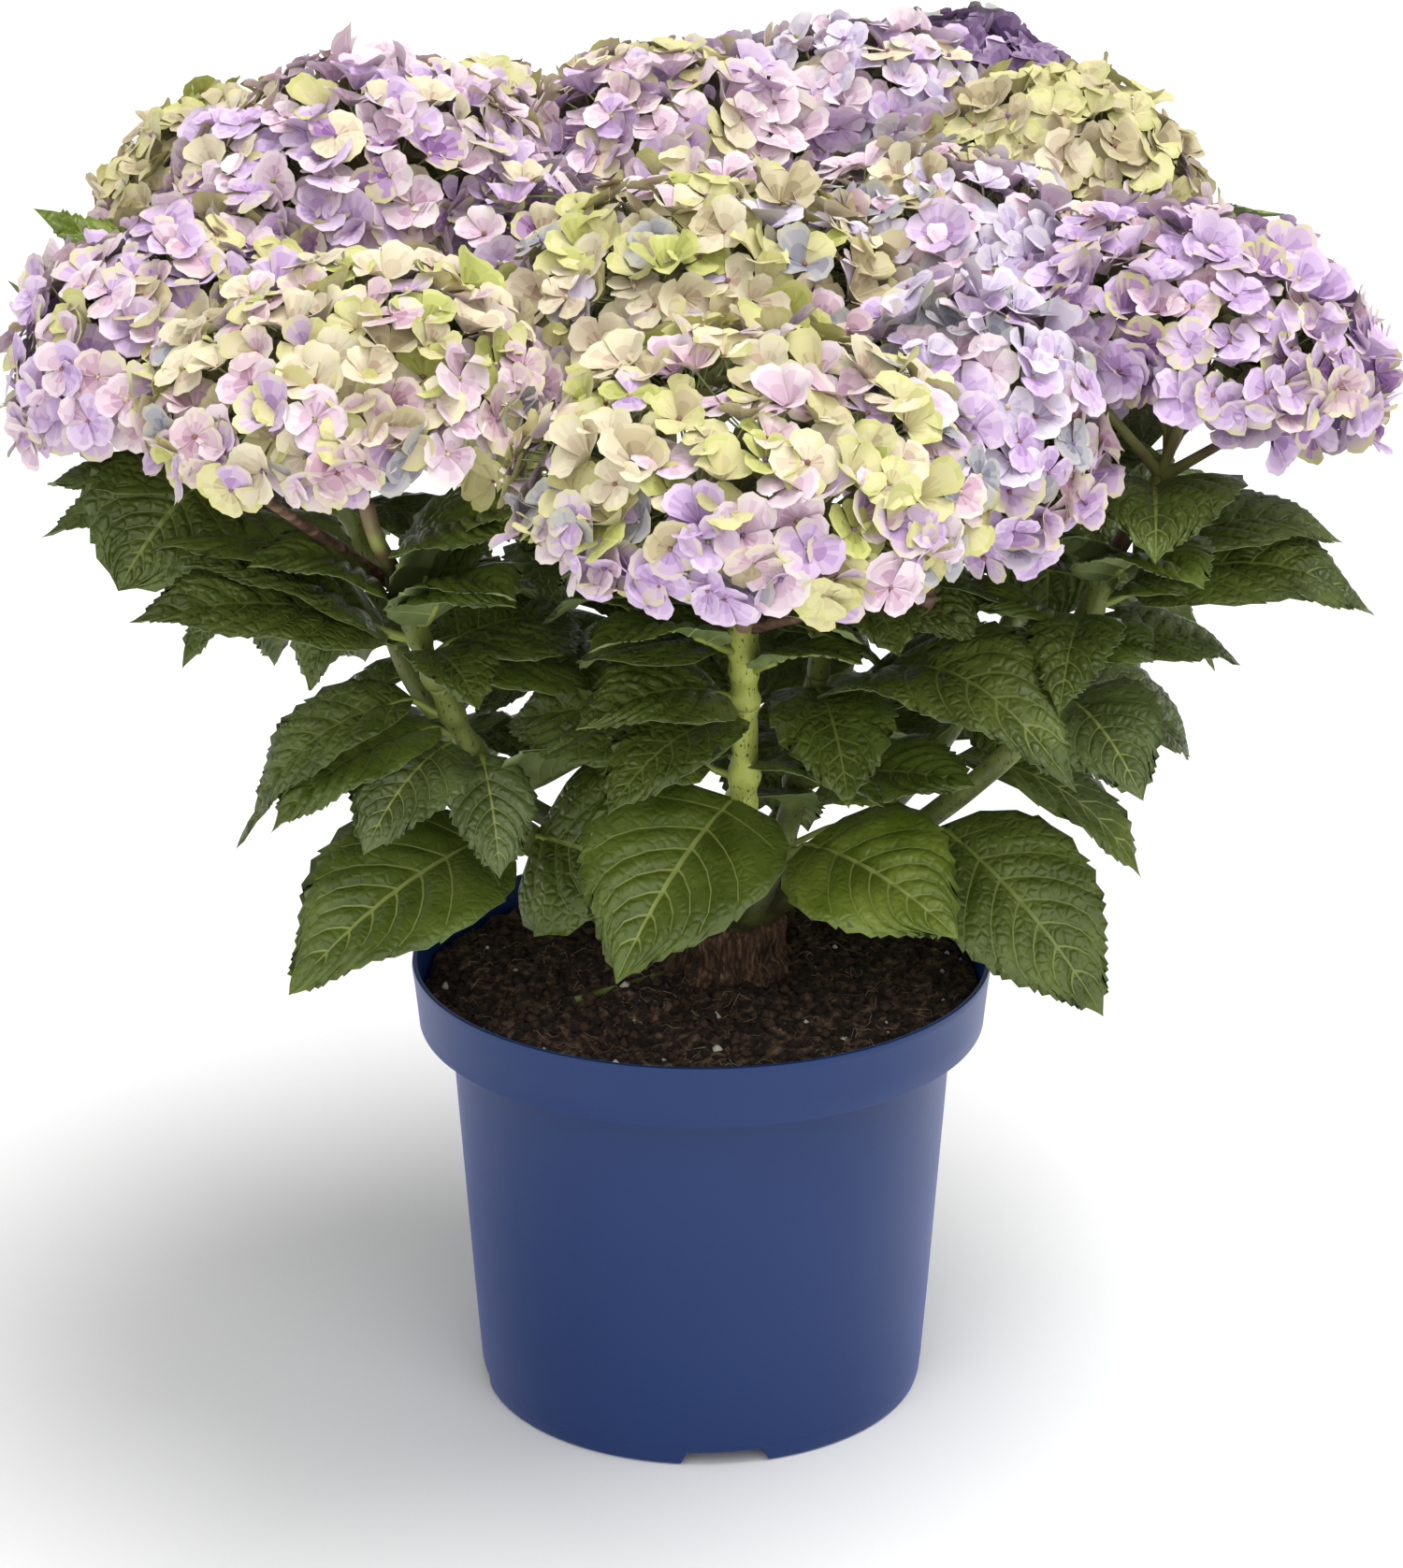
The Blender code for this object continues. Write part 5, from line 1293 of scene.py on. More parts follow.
def dome_flowers(flowers, dome, count, layer, limits, chance):
    """Adds a flower's middle, direction, level, openness and layer for each place on a dome."""
    settings = bpy.context.scene.hydrangea_flowers
    centre, turn, half_width, height = dome
    lowest = math.cos(HEAD_LOWEST_POLAR)
    for i in range(count):
        polar = math.acos(1 - (1 - lowest) * (i + 0.5 + chance.uniform(-0.4, 0.4)) / count)
        azimuth = i * GOLDEN_ANGLE + chance.uniform(-0.10, 0.10) + layer
        local = dome_point(polar, azimuth, half_width, height)
        normal = turn @ dome_normal(local, half_width, height)
        level = math.cos(polar) * 0.9 + 0.1
        bowl = chance.random() < 0.12 + 0.62 * max(level, 0)
        angle = (46 if bowl else 12) + chance.uniform(-9, 10)
        # A bowl's sepals rise above its middle, so it sits deeper under the dome
        inset = chance.uniform(0.003, 0.012) + math.sin(math.radians(angle)) * settings.flower_radius * 0.7
        at = centre + turn @ local - normal * (inset + 0.018 * layer)
        kept = pulled_inside(at, centre, limits)
        if (kept - at).length < 0.012 + 0.020 * layer:
            tilt = Vector(chance.normal(0, settings.flower_tilt, 3))
            faces = (normal + tilt + Vector((0, 0, 0.12))).normalized()
            flowers.append((kept, faces, level, angle, layer))


def add_head(name, gather, eyes, stalks, chance):
    """One mophead: flowers over its dome, a thinner layer of painted shade under them, and the stalks that
    carry them.
    """
    settings = bpy.context.scene.hydrangea_flowers
    centre, turn, half_width, height = head_frame(name)
    limits = space_limits(name)
    area = math.pi * half_width * (half_width + height) * (1 - math.cos(HEAD_LOWEST_POLAR))
    outer = round(area / settings.flower_spacing**2)
    flowers = []
    dome_flowers(flowers, head_frame(name), outer, 0, limits, chance)
    dome_flowers(flowers, head_frame(name), round(outer * settings.inner_share), 1, limits, chance)
    for head, place, cluster_width, cluster_height, count in SIDE_CLUSTERS:
        if head == name:
            dome_flowers(flowers, (Vector(place), turn, cluster_width, cluster_height), count, 0, [], chance)
    places, normals, heights, openness, layers = (np.array(column) for column in zip(*flowers))
    tints = chosen_tints(name, heights, chance)
    # The inner layer takes the dark shade tint, painted shade in the gaps between the outer flowers
    tints = np.where(layers == 1, list(TINTS).index("shade"), tints)
    sizes = settings.flower_radius * chance.uniform(0.86, 1.12, len(places))
    for layer, grid in enumerate((OUTER_GRID, INNER_GRID)):
        kept = layers == layer
        if kept.any():
            chosen = [column[kept] for column in (places, normals, sizes, openness, tints)]
            add_florets(gather, eyes, *chosen, grid, chance)
    axis = turn @ Vector((0, 0, 1))
    neck = centre - axis * height * FOOT_DROP_SHARE
    hubs = [centre + turn @ (dome_point(0.1, 0, half_width, height) * 0.30)]
    for i in range(6):
        polar = math.radians(62 + 14 * (i % 2))
        hubs.append(centre + turn @ (dome_point(polar, i * math.pi / 3, half_width, height) * 0.50))
    hubs = [pulled_inside(hub, centre, limits) for hub in hubs]
    for hub in hubs:
        path = bezier_path(neck, neck + axis * height * 0.35, hub - axis * height * 0.18, hub, 6)
        add_tube(stalks, path, tapered(len(path), 0.0021, 0.0013), 6, 0)
    hub_array = np.array(hubs)
    nearest = np.argmin(np.linalg.norm(places[:, None] - hub_array[None], axis=2), 1)
    starts = hub_array[nearest]
    mids = (starts + places) / 2 - normals * 0.004 + np.array(axis) * 0.002
    add_stalks(stalks, starts, mids, places, 0.00055, 1)


class HydrangeaPotSettings(bpy.types.PropertyGroup):
    """What a user would change on the pot and the soil."""

    plastic_colour: FloatVectorProperty(
        name="Plastic colour",
        description="Blue of the moulded pot",
        subtype="COLOR",
        size=4,
        min=0,
        max=1,
        default=colour("#01295f"),
    )
    segments: IntProperty(
        name="Segments", description="Steps round the pot's wall", default=144, min=36, max=360
    )
    edge_radius: FloatProperty(
        name="Edge radius", description="Rounding of the collar's and the rim's edges", default=0.0009,
        min=0.0002, max=0.002, unit="LENGTH",
    )
    crumb_count: IntProperty(
        name="Crumbs", description="Loose crumbs on the soil", default=3400, min=0, max=9000
    )
    crumb_size: FloatProperty(
        name="Crumb size", description="Half width of a large crumb",
        default=0.0036, min=0.0005, max=0.009,
        unit="LENGTH",
    )
    fibre_count: IntProperty(
        name="Fibres", description="Loose fibres on the soil", default=420, min=0, max=3000
    )


class HydrangeaStemSettings(bpy.types.PropertyGroup):
    """What a user would change on the stump, canes and stalks."""

    cane_sides: IntProperty(name="Cane sides", description="Steps round a cane", default=16, min=6, max=48)
    node_swelling: FloatProperty(
        name="Node swelling", description="How much thicker a cane is where a leaf joins it",
        default=0.28,
        min=0, max=0.6, subtype="FACTOR",
    )
    bark_relief: FloatProperty(
        name="Bark relief", description="Depth of the stump's fibrous ridges",
        default=0.0016, min=0, max=0.004,
        unit="LENGTH",
    )


class HydrangeaLeafSettings(bpy.types.PropertyGroup):
    """What a user would change on the leaves."""

    blade_thickness: FloatProperty(
        name="Blade thickness", description="Thickness of a blade between its veins", default=0.0006,
        min=0.0002, max=0.002, unit="LENGTH",
    )
    quilt_depth: FloatProperty(
        name="Quilting", description="Height of the puckers between the side veins", default=0.0022,
        min=0, max=0.004, unit="LENGTH",
    )
    tooth_length: FloatProperty(
        name="Tooth length", description="Length of the teeth on the margin",
        default=0.0020, min=0, max=0.004,
        unit="LENGTH",
    )


class HydrangeaFlowerSettings(bpy.types.PropertyGroup):
    """What a user would change on the flower heads."""

    flower_radius: FloatProperty(
        name="Sepal length", description="Distance from a flower's middle to the rim of a sepal",
        default=0.0120,
        min=0.006, max=0.03, unit="LENGTH",
    )
    flower_spacing: FloatProperty(
        name="Flower spacing", description="Distance between the middles of neighbouring flowers",
        default=0.0168,
        min=0.010, max=0.04, unit="LENGTH",
    )
    flower_tilt: FloatProperty(
        name="Tilt", description="How unevenly the flowers face",
        default=0.30, min=0, max=1, subtype="FACTOR"
    )
    inner_share: FloatProperty(
        name="Inner layer", description="Flowers under the outer layer, as a share of it", default=0.30,
        min=0, max=1, subtype="FACTOR",
    )


class HydrangeaStageSettings(bpy.types.PropertyGroup):
    """What a user would change on the floor, lights and camera."""

    floor_width: FloatProperty(
        name="Floor width", description="Width of the pale floor",
        default=200, min=2, max=400, unit="LENGTH"
    )
    key_power: FloatProperty(
        name="Key light", description="Strength of the soft light from above", default=2.45, min=0, max=20
    )
    front_power: FloatProperty(
        name="Front light", description="Strength of the wide light from the front",
        default=1.6, min=0, max=20
    )
    key_softness: FloatProperty(
        name="Key softness", description="Width of the soft light as seen from the plant",
        default=math.radians(38), min=0, max=math.pi, subtype="ANGLE",
    )
    sky_strength: FloatProperty(
        name="Surround light", description="Strength of the even white surround",
        default=0.38, min=0, max=4
    )
    camera_distance: FloatProperty(
        name="Camera distance", description="Distance of the camera in front of the pot", default=1.82,
        min=0.5, max=20, unit="LENGTH",
    )
    camera_height: FloatProperty(
        name="Camera height", description="Height of the camera over the floor",
        default=0.948, min=0, max=10,
        unit="LENGTH",
    )


class HYDRANGEA_OT_pot(bpy.types.Operator):
    """Build the moulded pot with its collar, foot ring, notches and drain holes"""

    bl_idname = "hydrangea.pot"
    bl_label = "Pot"

    def execute(self, context):
        settings = context.scene.hydrangea_pot
        edge = settings.edge_radius
        collar_foot = POT_HEIGHT - COLLAR_HEIGHT
        lean = (RIM_RADIUS - COLLAR_RADIUS) / COLLAR_HEIGHT
        slope = (BODY_TOP_RADIUS - FOOT_RADIUS) / collar_foot
        outer = [
            (0.0005, 0),
            (PAD_RADIUS, 0),
            (PAD_RADIUS + PAD_SLOPE, GUTTER_HEIGHT),
            (GUTTER_OUTER_RADIUS, GUTTER_HEIGHT),
            (GUTTER_OUTER_RADIUS + 0.0020, 0),
            (FOOT_RADIUS - 0.0020, 0),
            (FOOT_RADIUS - 0.0006, 0.0010),
            (FOOT_RADIUS, 0.0030),
            (FOOT_RADIUS + slope * 0.006, 0.0090),
            (FOOT_RADIUS + slope * 0.006 + 0.0003, 0.0094),
        ]
        for share in (0.2, 0.4, 0.6, 0.8):
            height = 0.0094 + (collar_foot - 0.0094) * share
            outer.append((FOOT_RADIUS + slope * height + 0.0003, height))
        outer += [
            (BODY_TOP_RADIUS, collar_foot - WALL - 0.0012),
            (BODY_TOP_RADIUS + 0.0010, collar_foot - WALL),
            (COLLAR_RADIUS - edge, collar_foot - WALL),
            (COLLAR_RADIUS - edge * 0.3, collar_foot - WALL + edge * 0.3),
            (COLLAR_RADIUS, collar_foot - WALL + edge),
            (COLLAR_RADIUS + lean * 0.0080, collar_foot + 0.0080),
            (COLLAR_RADIUS + lean * 0.0180, collar_foot + 0.0180),
            (RIM_RADIUS - 0.0002, POT_HEIGHT - 0.0034),
            (RIM_RADIUS, POT_HEIGHT - 0.0022),
            (RIM_RADIUS - edge * 0.3, POT_HEIGHT - edge * 0.3),
            (RIM_RADIUS - edge, POT_HEIGHT),
            (RIM_RADIUS - RIM_WALL + edge, POT_HEIGHT),
            (RIM_RADIUS - RIM_WALL + edge * 0.3, POT_HEIGHT - edge * 0.3),
            (RIM_RADIUS - RIM_WALL, POT_HEIGHT - edge),
            (COLLAR_RADIUS - WALL, collar_foot + WALL / 2),
            (BODY_TOP_RADIUS - WALL, collar_foot),
            (FOOT_RADIUS - WALL, GUTTER_HEIGHT + WALL),
            (PAD_RADIUS + PAD_SLOPE, GUTTER_HEIGHT + WALL),
            (PAD_RADIUS, WALL),
            (0.0005, WALL),
        ]
        gather = Gather()
        segments = settings.segments
        turns = np.arange(segments) * 2 * math.pi / segments
        radius, height = np.array(outer).T[:, :, None]
        points = np.stack([radius * np.cos(turns), radius * np.sin(turns), height + 0 * turns], -1)
        points = points.reshape(-1, 3)
        gather.add(points, grid_faces(len(outer), segments, True), 0)
        last = (len(outer) - 1) * segments
        middles = np.array([[0, 0, 0], [0, 0, WALL]])
        gather.add(middles, fan_faces(0, segments, last + segments)[:, ::-1], 0)
        gather.add(None, fan_faces(last, segments, last + segments + 1), 0)
        gather.close()
        pot = gather.build("nursery_pot", [moulded_polypropylene()])
        cutters = bpy.data.collections.new("pot cutters")
        context.scene.collection.children.link(cutters)
        hole_ring = (PAD_RADIUS + GUTTER_OUTER_RADIUS) / 2
        for i in range(DRAIN_HOLES):
            turn = FOOT_NOTCH_AZIMUTH + 2 * math.pi * i / DRAIN_HOLES
            centre = Vector((hole_ring * math.cos(turn), hole_ring * math.sin(turn), GUTTER_HEIGHT))
            add_cutter("drain hole", centre, turn, None, cutters)
        for i in range(FOOT_NOTCHES):
            turn = FOOT_NOTCH_AZIMUTH + 2 * math.pi * i / FOOT_NOTCHES
            centre = step_out(turn) * (FOOT_RADIUS - WALL)
            add_cutter("foot notch", centre, turn, FOOT_NOTCH_WIDTH, cutters)
        cut = pot.modifiers.new("Holes and notches", "BOOLEAN")
        cut.operation = "DIFFERENCE"
        cut.operand_type = "COLLECTION"
        cut.collection = cutters
        graph = context.evaluated_depsgraph_get()
        pot.data = bpy.data.meshes.new_from_object(pot.evaluated_get(graph))
        pot.modifiers.clear()
        for cutter in list(cutters.objects):
            bpy.data.objects.remove(cutter, do_unlink=True)
        bpy.data.collections.remove(cutters)
        pot.data.set_sharp_from_angle(angle=math.radians(28))
        placed_piece(pot, "pot_plastic", "pot")
        return {"FINISHED"}


def add_cutter(name, centre, turn, width, collection):
    """A cutter for a round drain hole, or for a notch where a width is given."""
    outward = step_out(turn)
    across = Vector((-outward.y, outward.x, 0))
    rings = []
    if width is None:
        corners = [(math.cos(a), math.sin(a)) for a in (2 * math.pi * i / 24 for i in range(24))]
        for height in (-0.006, 0.006):
            level, size = Vector((0, 0, height)), DRAIN_HOLE_RADIUS
            rings.append([centre + (outward * a + across * b) * size + level for a, b in corners])
    else:
        for height, draft in ((-FOOT_NOTCH_HEIGHT, FOOT_NOTCH_DRAFT), (FOOT_NOTCH_HEIGHT, -FOOT_NOTCH_DRAFT)):
            half = width / 2 + draft
            corners = ((-1, -1), (1, -1), (1, 1), (-1, 1))
            depth = FOOT_NOTCH_DEPTH / 2
            level = Vector((0, 0, height))
            rings.append([centre + outward * a * depth + across * b * half + level for a, b in corners])
    count = len(rings[0])
    faces = [tuple(reversed(range(count))), tuple(range(count, 2 * count))]
    faces += [(i, (i + 1) % count, (i + 1) % count + count, i + count) for i in range(count)]
    mesh = bpy.data.meshes.new(name)
    mesh.from_pydata([tuple(point) for ring in rings for point in ring], [], faces)
    made = bpy.data.objects.new(name, mesh)
    made.hide_render = True
    collection.objects.link(made)


class HYDRANGEA_OT_soil(bpy.types.Operator):
    """Build the loose top of the soil, with its crumbs, fibres and perlite"""

    bl_idname = "hydrangea.soil"
    bl_label = "Soil"

    def execute(self, context):
        settings = context.scene.hydrangea_pot
        mix = potting_mix()
        body = frame["nodes"]["soil"]
        body.data.materials.clear()
        body.data.materials.append(mix)
        chance = random.Random(SEED + 2)
        edge = COLLAR_RADIUS - WALL - 0.0010
        rings = [edge * (i / SOIL_RINGS) ** 0.8 for i in range(1, SOIL_RINGS + 1)]
        segments = SOIL_SEGMENTS
        points = []
        for radius in rings:
            for i in range(segments):
                turn = 2 * math.pi * i / segments
                x, y = radius * math.cos(turn), radius * math.sin(turn)
                points.append((x, y, soil_relief(x, y)))
        skirt = [(x, y, z - SOIL_SKIRT) for x, y, z in points[-segments:]]
        points = np.array([*points, *skirt, (0, 0, soil_relief(0, 0))])
        gather = Gather()
        gather.add(points, grid_faces(len(rings) + 1, segments, True), 0)
        gather.add(None, fan_faces(0, segments, len(points) - 1)[:, ::-1], 0)
        gather.close()
        materials = [
            mix,
            plain("peat_crumb", "#241810", 0.95),
            plain("composted_bark", "#402d21", 0.9),
            plain("bark_fibre", "#6a5240", 0.85),
            plain("pale_fibre", "#94806a", 0.85),
            plain("expanded_perlite", "#cfc9bf", 0.8),
        ]
        for number in range(settings.crumb_count):
            radius = edge * math.sqrt(chance.random()) * 0.985
            turn = chance.uniform(0, 2 * math.pi)
            x, y = radius * math.cos(turn), radius * math.sin(turn)
            size = settings.crumb_size * (0.18 + 0.82 * chance.random() ** 2.5)
            perlite = number % PERLITE_EVERY == 0
            shade = 5 if perlite else chance.choice((1, 1, 2))
            size = max(size, 0.0011) if perlite else size
            add_crumb(gather, Vector((x, y, soil_relief(x, y) + size * 0.3)), size, shade, chance)
        for _ in range(settings.fibre_count):
            radius = edge * math.sqrt(chance.random()) * 0.93
            turn = chance.uniform(0, 2 * math.pi)
            heading = chance.uniform(0, 2 * math.pi)
            length = chance.uniform(0.004, 0.014)
            path = []
            for step in range(5):
                heading += chance.uniform(-0.5, 0.5)
                x = radius * math.cos(turn) + math.cos(heading) * length * step / 4
                y = radius * math.sin(turn) + math.sin(heading) * length * step / 4
                x, y = (x, y) if math.hypot(x, y) < edge * 0.97 else (x * 0.95, y * 0.95)
                lift = 0.0004 + 0.0016 * chance.random() * math.sin(math.pi * step / 4)
                path.append(Vector((x, y, soil_relief(x, y) + lift)))
            add_tube(gather, path, tapered(5, 0.00024, 0.00012), 3, chance.choice((3, 4)))
        piece = gather.build("soil_surface", materials)
        placed_piece(piece, "potting_soil")
        return {"FINISHED"}


def add_crumb(gather, centre, size, shade, chance):
    """One lump of soil: an uneven octahedron, flatter than it is wide."""
    shape = ((1, 0, 0), (0, 1, 0), (-1, 0, 0), (0, -1, 0), (0, 0, 0.8), (0, 0, -0.8))
    turn = chance.uniform(0, 6.28)
    cos, sin = math.cos(turn), math.sin(turn)
    points = []
    for x, y, z in shape:
        r = size * chance.uniform(0.6, 1.25)
        across, depth = x * cos - y * sin, x * sin + y * cos
        points.append((centre.x + across * r, centre.y + depth * r, centre.z + z * r))
    faces = [(i, (i + 1) % 4, 4) for i in range(4)] + [((i + 1) % 4, i, 5) for i in range(4)]
    gather.add(np.array(points), np.array(faces), shade)
    gather.close()


class HYDRANGEA_OT_stump(bpy.types.Operator):
    """Build the stump with its fibrous, ridged bark"""

    bl_idname = "hydrangea.stump"
    bl_label = "Stump"

    def execute(self, context):
        settings = context.scene.hydrangea_stems
        chance = random.Random(SEED + 3)
        profile = (
            (STUMP_FLARE_RADIUS, -0.004),
            (STUMP_FLARE_RADIUS - 0.003, 0.003),
            (STUMP_WAIST_RADIUS, STUMP_WAIST_RISE),
            (STUMP_WAIST_RADIUS + 0.001, 0.016),
            (STUMP_SHOULDER_RADIUS, STUMP_SHOULDER_RISE),
            ((STUMP_SHOULDER_RADIUS + STUMP_TOP_RADIUS) / 2, (STUMP_SHOULDER_RISE + STUMP_TOP_RISE) / 2),
            (STUMP_TOP_RADIUS, STUMP_TOP_RISE),
            (0.0060, STUMP_TOP_RISE + 0.0025),
        )
        radii, heights = zip(*profile)
        rows, segments = 34, 120
        points = []
        for row in range(rows):
            height = heights[0] + (heights[-1] - heights[0]) * row / (rows - 1)
            radius = float(np.interp(height, heights, radii))
            for i in range(segments):
                turn = 2 * math.pi * i / segments
                facet = math.cos((turn - FIRST_FACET_AZIMUTH) * STUMP_FACETS)
                ridge = noise.fractal(step_out(turn, 9, height * 40), 0.8, 2.0, 4)
                strand = abs(math.sin(turn * 19 + 3 * ridge + height * 60))
                size = radius * (1 + 0.03 * facet) + settings.bark_relief * (ridge + strand - 0.8)
                points.append((
                    STUMP_CENTRE.x + size * math.cos(turn),
                    STUMP_CENTRE.y + size * math.sin(turn),
                    stump_base() + height,
                ))
        points.append((STUMP_CENTRE.x, STUMP_CENTRE.y, stump_base() + STUMP_TOP_RISE + 0.003))
        gather = Gather()
        gather.add(np.array(points), grid_faces(rows, segments, True), 0)
        gather.add(None, fan_faces((rows - 1) * segments, segments, rows * segments), 0)
        gather.close()
        for _ in range(40):
            turn = chance.uniform(0, 2 * math.pi)
            low = chance.uniform(-0.002, 0.012)
            span = chance.uniform(0.008, 0.022)
            path = []
            for step in range(5):
                height = low + span * step / 4
                radius = float(np.interp(height, heights, radii)) + 0.0002
                radius += 0.0012 * chance.random() * step / 4
                angle = turn + 0.05 * math.sin(step * 1.7 + turn)
                path.append(STUMP_CENTRE + step_out(angle, radius, stump_base() + height))
            add_tube(gather, path, tapered(5, 0.0009, 0.0003), 4, chance.choice((1, 2)))
        strips = [
            fibrous_old_stem(),
            plain("peeling_bark_dark", "#382a1d", 0.9),
            plain("peeling_bark_light", "#5c4935", 0.9),
        ]
        placed_piece(gather.build("woody_stump", strips), "old_wood", "stump")
        return {"FINISHED"}


class HYDRANGEA_OT_canes(bpy.types.Operator):
    """Build the canes, the stems and arms of the flower heads, and the sprout on the soil"""

    bl_idname = "hydrangea.canes"
    bl_label = "Canes"

    def execute(self, context):
        settings = context.scene.hydrangea_stems
        # The front cane's yellow-green bark is its own fresher colour, lightened further as painted light for
        # the light it catches in front of the crown
        barks = [
            green_bark("yellow_green_bark_painted_light", ("#4c4222", "#767c34", "#98a046", "#b4bc5c"), 1.3),
            green_bark("dark_green_bark", ("#3c331c", "#464a22", "#56602a", "#707a38"), 1.4),
        ]
        nodes = {name: [] for name in CANES}
        for limb, height, *_ in leaf_places():
            if limb in CANES:
                nodes[limb].append(height)
        canes, shoots = Gather(), Gather()
        for name, (_, foot_radius, tip_radius, _) in CANES.items():
            path = cane_path(name, 14)[0]
            path = [path[0] - (path[1] - path[0]).normalized() * 0.007, *path]
            radii = []
            for number, point in enumerate(path):
                share = number / (len(path) - 1)
                size = foot_radius + (tip_radius - foot_radius) * share
                size *= 1 + 0.45 * math.exp(-share * 16)
                size = swollen(size, point.z, nodes[name], foot_radius * settings.node_swelling, 0.0042)
                radii.append(ribbed(size, number))
            # Only the front cane takes the lighter bark with painted light
            shade = 0 if name == "cane_front" else 1
            add_tube(canes, path, radii, settings.cane_sides, shade)
            path = shoot_path(name, 12)
            radii = []
            for number, point in enumerate(path):
                share = number / (len(path) - 1)
                size = tip_radius * (1 + (SHOOT_TAPER - 1) * share)
                knots = [*nodes[name], FORKS[name][2] - 0.004]
                size = swollen(size, point.z, knots, foot_radius * settings.node_swelling, 0.0040)
                radii.append(ribbed(size, number))
            path[0] = path[0] - Vector((0, 0, 0.0006))
            add_tube(shoots, path, radii, settings.cane_sides, shade)
        sprout = Gather()
        points = [Vector(point) for point in SPROUT]
        path = smooth_path(points, (points[1] - points[0]).normalized(), 10)
        radii = [ribbed(SPROUT_RADIUS * (1 - 0.4 * i / len(path)), i) for i in range(len(path))]
        add_tube(sprout, path, radii, 10, 0)
        placed_piece(sprout.build("soil_shoot", [young_shoot_skin()]), "cane_bark", "soil_sprout")
        placed_piece(canes.build("canes", barks), "cane_bark", *CANES)
        for name in HEADS:
            path = arm_path(name, 18)
            radii = tapered(len(path), ARM_FOOT_RADIUS, PEDUNCLE_RADIUS * 0.85)
            add_tube(shoots, path, [ribbed(size, i) for i, size in enumerate(radii)], 12, 2)
        for limb, height, end, skin in BARE_STALKS:
            start, end = limb_point(limb, height), Vector(end)
            path = bezier_path(start, start.lerp(end, 0.3), start.lerp(end, 0.7), end, 8)
            radii = tapered(9, 0.0028, 0.0020)
            shade = 3 if skin == "brown" else 2
            add_tube(shoots, path, [ribbed(size, i) for i, size in enumerate(radii)], 10, shade)
        piece = shoots.build("flower_shoots", [*barks, flower_stalk_skin(), brown_stalk_skin()])
        placed_piece(piece, "leaf_green", *(name.replace("cane", "shoot") for name in CANES))
        return {"FINISHED"}


def swollen(size, height, nodes, bulge, spread):
    """A limb's radius with the swelling of each node near this height."""
    for node in nodes:
        size += bulge * math.exp(-(((height - node) / spread) ** 2))
    return size


def ribbed(size, number):
    """A stem's radius at each angle: faintly six-angled and uneven."""
    shift = 0.35 * math.sin(number * 0.7)

    def radius(turn):
        ribs = 0.035 * math.cos(6 * turn + shift)
        return size * (1 + ribs + 0.02 * math.sin(2 * turn + number * 0.9))

    return radius


class HYDRANGEA_OT_leaves(bpy.types.Operator):
    """Build the quilted, toothed leaves on their stalks"""

    bl_idname = "hydrangea.leaves"
    bl_label = "Leaves"

    def execute(self, context):
        tones = ("deep", "mid", "fresh", "grey")
        materials = [
            waxy_leaf("waxy_leaf_deep", "#425018", "#5e6d2c", 0.6),
            waxy_leaf("waxy_leaf_mid", "#485819", "#62732b", 0.32),
            waxy_leaf("waxy_leaf_fresh", "#586a1a", "#7b8c36", 0.30),
            waxy_leaf("waxy_leaf_grey", "#4a5829", "#637140", 0.45),
            leaf_underside(),
            plain("leaf_vein", "#97a358", 0.5),
            plain("leaf_vein_dark", "#788540", 0.5),
            plain("leaf_stalk_skin", "#84903f", 0.45),
        ]
        chance = np.random.default_rng(SEED + 4)
        trees = {name: tree_of(frame["nodes"][name]) for name in CANES}
        groups = {name: Gather() for name in CANES}
        nodes = {name: [name.replace("cane", "shoot")] for name in CANES}
        plates = []
        number = 0
        for place in leaf_places():
            limb, height, tip, _, width, roll, arch, tone = place
            cane = cane_of(limb)
            node = limb_point(limb, height)
            if height > cane_path(cane)[0][-1].z:
                start, first = node, (tip - node).normalized()
            else:
                start, first = cane_seat(trees[cane], node, tip)
                start = start - first * 0.0015
                number += 1
                nodes[cane].append(f"low_leaf_{number:02d}")
            base, path = leaf_stalk_path(place, start, first)
            shades = (tones.index(tone), 4, 5 if tone != "deep" else 6)
            radii = tapered(len(path), LEAF_STALK_RADIUS, LEAF_STALK_RADIUS * LEAF_STALK_TAPER)
            add_tube(groups[cane], path, radii, 8, 7)
            grid = FINE_BLADE if len(plates) < len(LEAVES) else PLAIN_BLADE
            add_blade(groups[cane], base, tip, width, roll, arch, shades, grid, chance)
            plates.append(blade_plate(base, tip, width, roll, arch))
        for place in fine_leaf_places():
            limb, height, tip, stalk, width, roll, arch, tone = place
            cane = cane_of(limb)
            start = limb_point(limb, height)
            base, path = leaf_stalk_path(place, start, (tip - start).normalized())
            plate = blade_plate(base, tip, width, roll, arch)
            if stalk == ARM_LEAF_STALK and any(plate.overlap(other) for other in plates):
                continue
            plates.append(plate)
            shades = (tones.index(tone), 4, 6)
            radii = tapered(len(path), LEAF_STALK_RADIUS * 0.8, LEAF_STALK_RADIUS * 0.5)
            add_tube(groups[cane], path, radii, 8, 7)
            grid = PLAIN_BLADE if stalk == ARM_LEAF_STALK else FINE_BLADE
            add_blade(groups[cane], base, tip, width, roll, arch, shades, grid, chance)
        for cane, gather in groups.items():
            piece = gather.build(cane.replace("cane", "leaves"), materials)
            placed_piece(piece, "leaf_green", *nodes[cane])
        return {"FINISHED"}


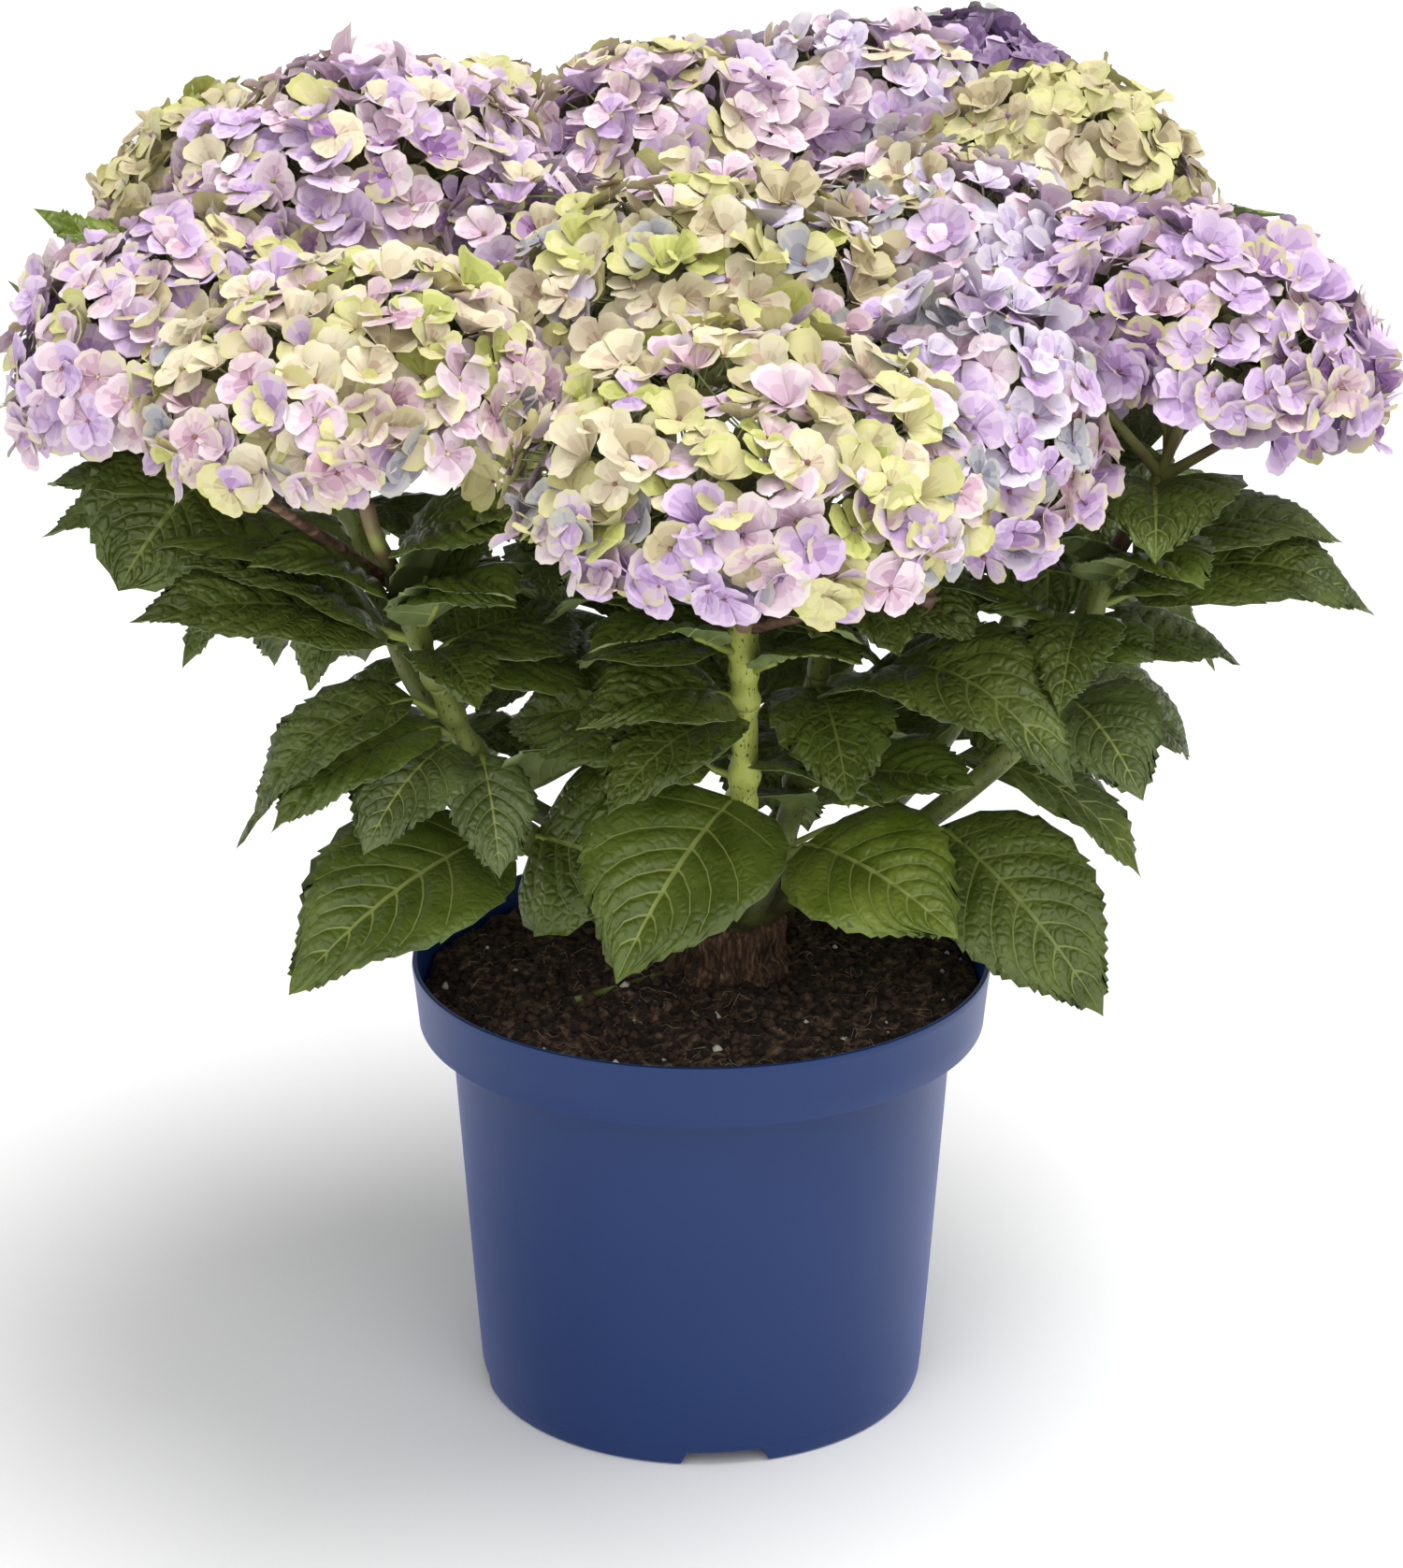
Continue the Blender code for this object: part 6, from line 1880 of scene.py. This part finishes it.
class HYDRANGEA_OT_heads(bpy.types.Operator):
    """Build the flower heads: four-sepalled flowers, their eyes and their stalks"""

    bl_idname = "hydrangea.heads"
    bl_label = "Flower heads"

    def execute(self, context):
        chance = np.random.default_rng(SEED + 5)
        sepals = sepal_materials()
        eyes, stalks = Gather(), Gather()
        slots = {m["node"]: m["material_slot"] for m in frame["record"]["subparts"]}
        for name in HEADS:
            gather = Gather()
            add_head(name, gather, eyes, stalks, chance)
            piece = gather.build(name.replace("head", "flowers"), sepals)
            placed_piece(piece, slots[name], name)
        eye_materials = [
            plain("flower_eye_brown", "#8c5f52", 0.5),
            plain("flower_eye_cream", "#d2c196", 0.5),
            plain("flower_eye_mauve", "#86648c", 0.5),
            plain("flower_eye_green", "#9c9c60", 0.5),
        ]
        placed_piece(eyes.build("flower_eyes", eye_materials), "floret_cream")
        stalk_materials = [flower_stalk_skin(), plain("flower_stalk_pale", "#a9b878", 0.5)]
        placed_piece(stalks.build("flower_stalks", stalk_materials), "leaf_green")
        return {"FINISHED"}


class HYDRANGEA_OT_stage(bpy.types.Operator):
    """Set up the pale floor, the soft studio light and the camera"""

    bl_idname = "hydrangea.stage"
    bl_label = "Stage"

    def execute(self, context):
        settings = context.scene.hydrangea_stage
        half = settings.floor_width / 2
        mesh = bpy.data.meshes.new("floor")
        corners = [(-half, -half, 0), (half, -half, 0), (half, half, 0), (-half, half, 0)]
        mesh.from_pydata(corners, [], [(0, 1, 2, 3)])
        mesh.materials.append(matt_paper())
        floor = bpy.data.objects.new("floor", mesh)
        context.scene.collection.objects.link(floor)
        add_light("key_light", KEY_DIRECTION, settings.key_power, settings.key_softness)
        add_light("front_light", FRONT_DIRECTION, settings.front_power, settings.key_softness * 2)
        world = bpy.data.worlds.new("soft_white")
        world.use_nodes = True
        surround = world.node_tree.nodes["Background"]
        surround.inputs["Color"].default_value = (1, 1, 1, 1)
        surround.inputs["Strength"].default_value = settings.sky_strength
        context.scene.world = world
        context.scene.view_settings.view_transform = "Standard"
        lens = bpy.data.cameras.new("camera")
        lens.sensor_fit = "VERTICAL"
        lens.sensor_height = SENSOR_HEIGHT
        lens.lens = SENSOR_HEIGHT * FOCAL_PIXELS / IMAGE_HEIGHT
        camera = bpy.data.objects.new("camera", lens)
        camera.location = (0, -settings.camera_distance, settings.camera_height)
        camera.rotation_euler = (CAMERA_TILT, 0, 0)
        context.scene.collection.objects.link(camera)
        context.scene.camera = camera
        return {"FINISHED"}


def add_light(name, towards, power, softness):
    """A wide soft light that shines from a direction."""
    light = bpy.data.lights.new(name, "SUN")
    light.energy = power
    light.angle = softness
    lamp = bpy.data.objects.new(name, light)
    lamp.rotation_euler = Vector(towards).to_track_quat("Z", "Y").to_euler()
    bpy.context.scene.collection.objects.link(lamp)


BUILDERS = (
    HYDRANGEA_OT_pot,
    HYDRANGEA_OT_soil,
    HYDRANGEA_OT_stump,
    HYDRANGEA_OT_canes,
    HYDRANGEA_OT_leaves,
    HYDRANGEA_OT_heads,
    HYDRANGEA_OT_stage,
)
SETTINGS = {
    "hydrangea_pot": HydrangeaPotSettings,
    "hydrangea_stems": HydrangeaStemSettings,
    "hydrangea_leaves": HydrangeaLeafSettings,
    "hydrangea_flowers": HydrangeaFlowerSettings,
    "hydrangea_stage": HydrangeaStageSettings,
}


class HYDRANGEA_PT_panel(bpy.types.Panel):
    """The builders and their settings, in the 3D view's sidebar"""

    bl_idname = "HYDRANGEA_PT_panel"
    bl_label = "Hydrangea"
    bl_space_type = "VIEW_3D"
    bl_region_type = "UI"
    bl_category = "Hydrangea"

    def draw(self, context):
        for name, group in SETTINGS.items():
            box = self.layout.box()
            for field in group.__annotations__:
                box.prop(getattr(context.scene, name), field)
        for builder in BUILDERS:
            self.layout.operator(builder.bl_idname)


def register():
    for group in SETTINGS.values():
        bpy.utils.register_class(group)
    for name, group in SETTINGS.items():
        setattr(bpy.types.Scene, name, PointerProperty(type=group))
    for builder in BUILDERS:
        bpy.utils.register_class(builder)
    bpy.utils.register_class(HYDRANGEA_PT_panel)


def unregister():
    bpy.utils.unregister_class(HYDRANGEA_PT_panel)
    for builder in reversed(BUILDERS):
        bpy.utils.unregister_class(builder)
    for name in SETTINGS:
        delattr(bpy.types.Scene, name)
    for group in reversed(SETTINGS.values()):
        bpy.utils.unregister_class(group)


def main():
    register()
    bpy.ops.hydrangea.pot()
    bpy.ops.hydrangea.soil()
    bpy.ops.hydrangea.stump()
    bpy.ops.hydrangea.canes()
    bpy.ops.hydrangea.leaves()
    bpy.ops.hydrangea.heads()
    bpy.ops.hydrangea.stage()


if __name__ == "__main__":
    main()
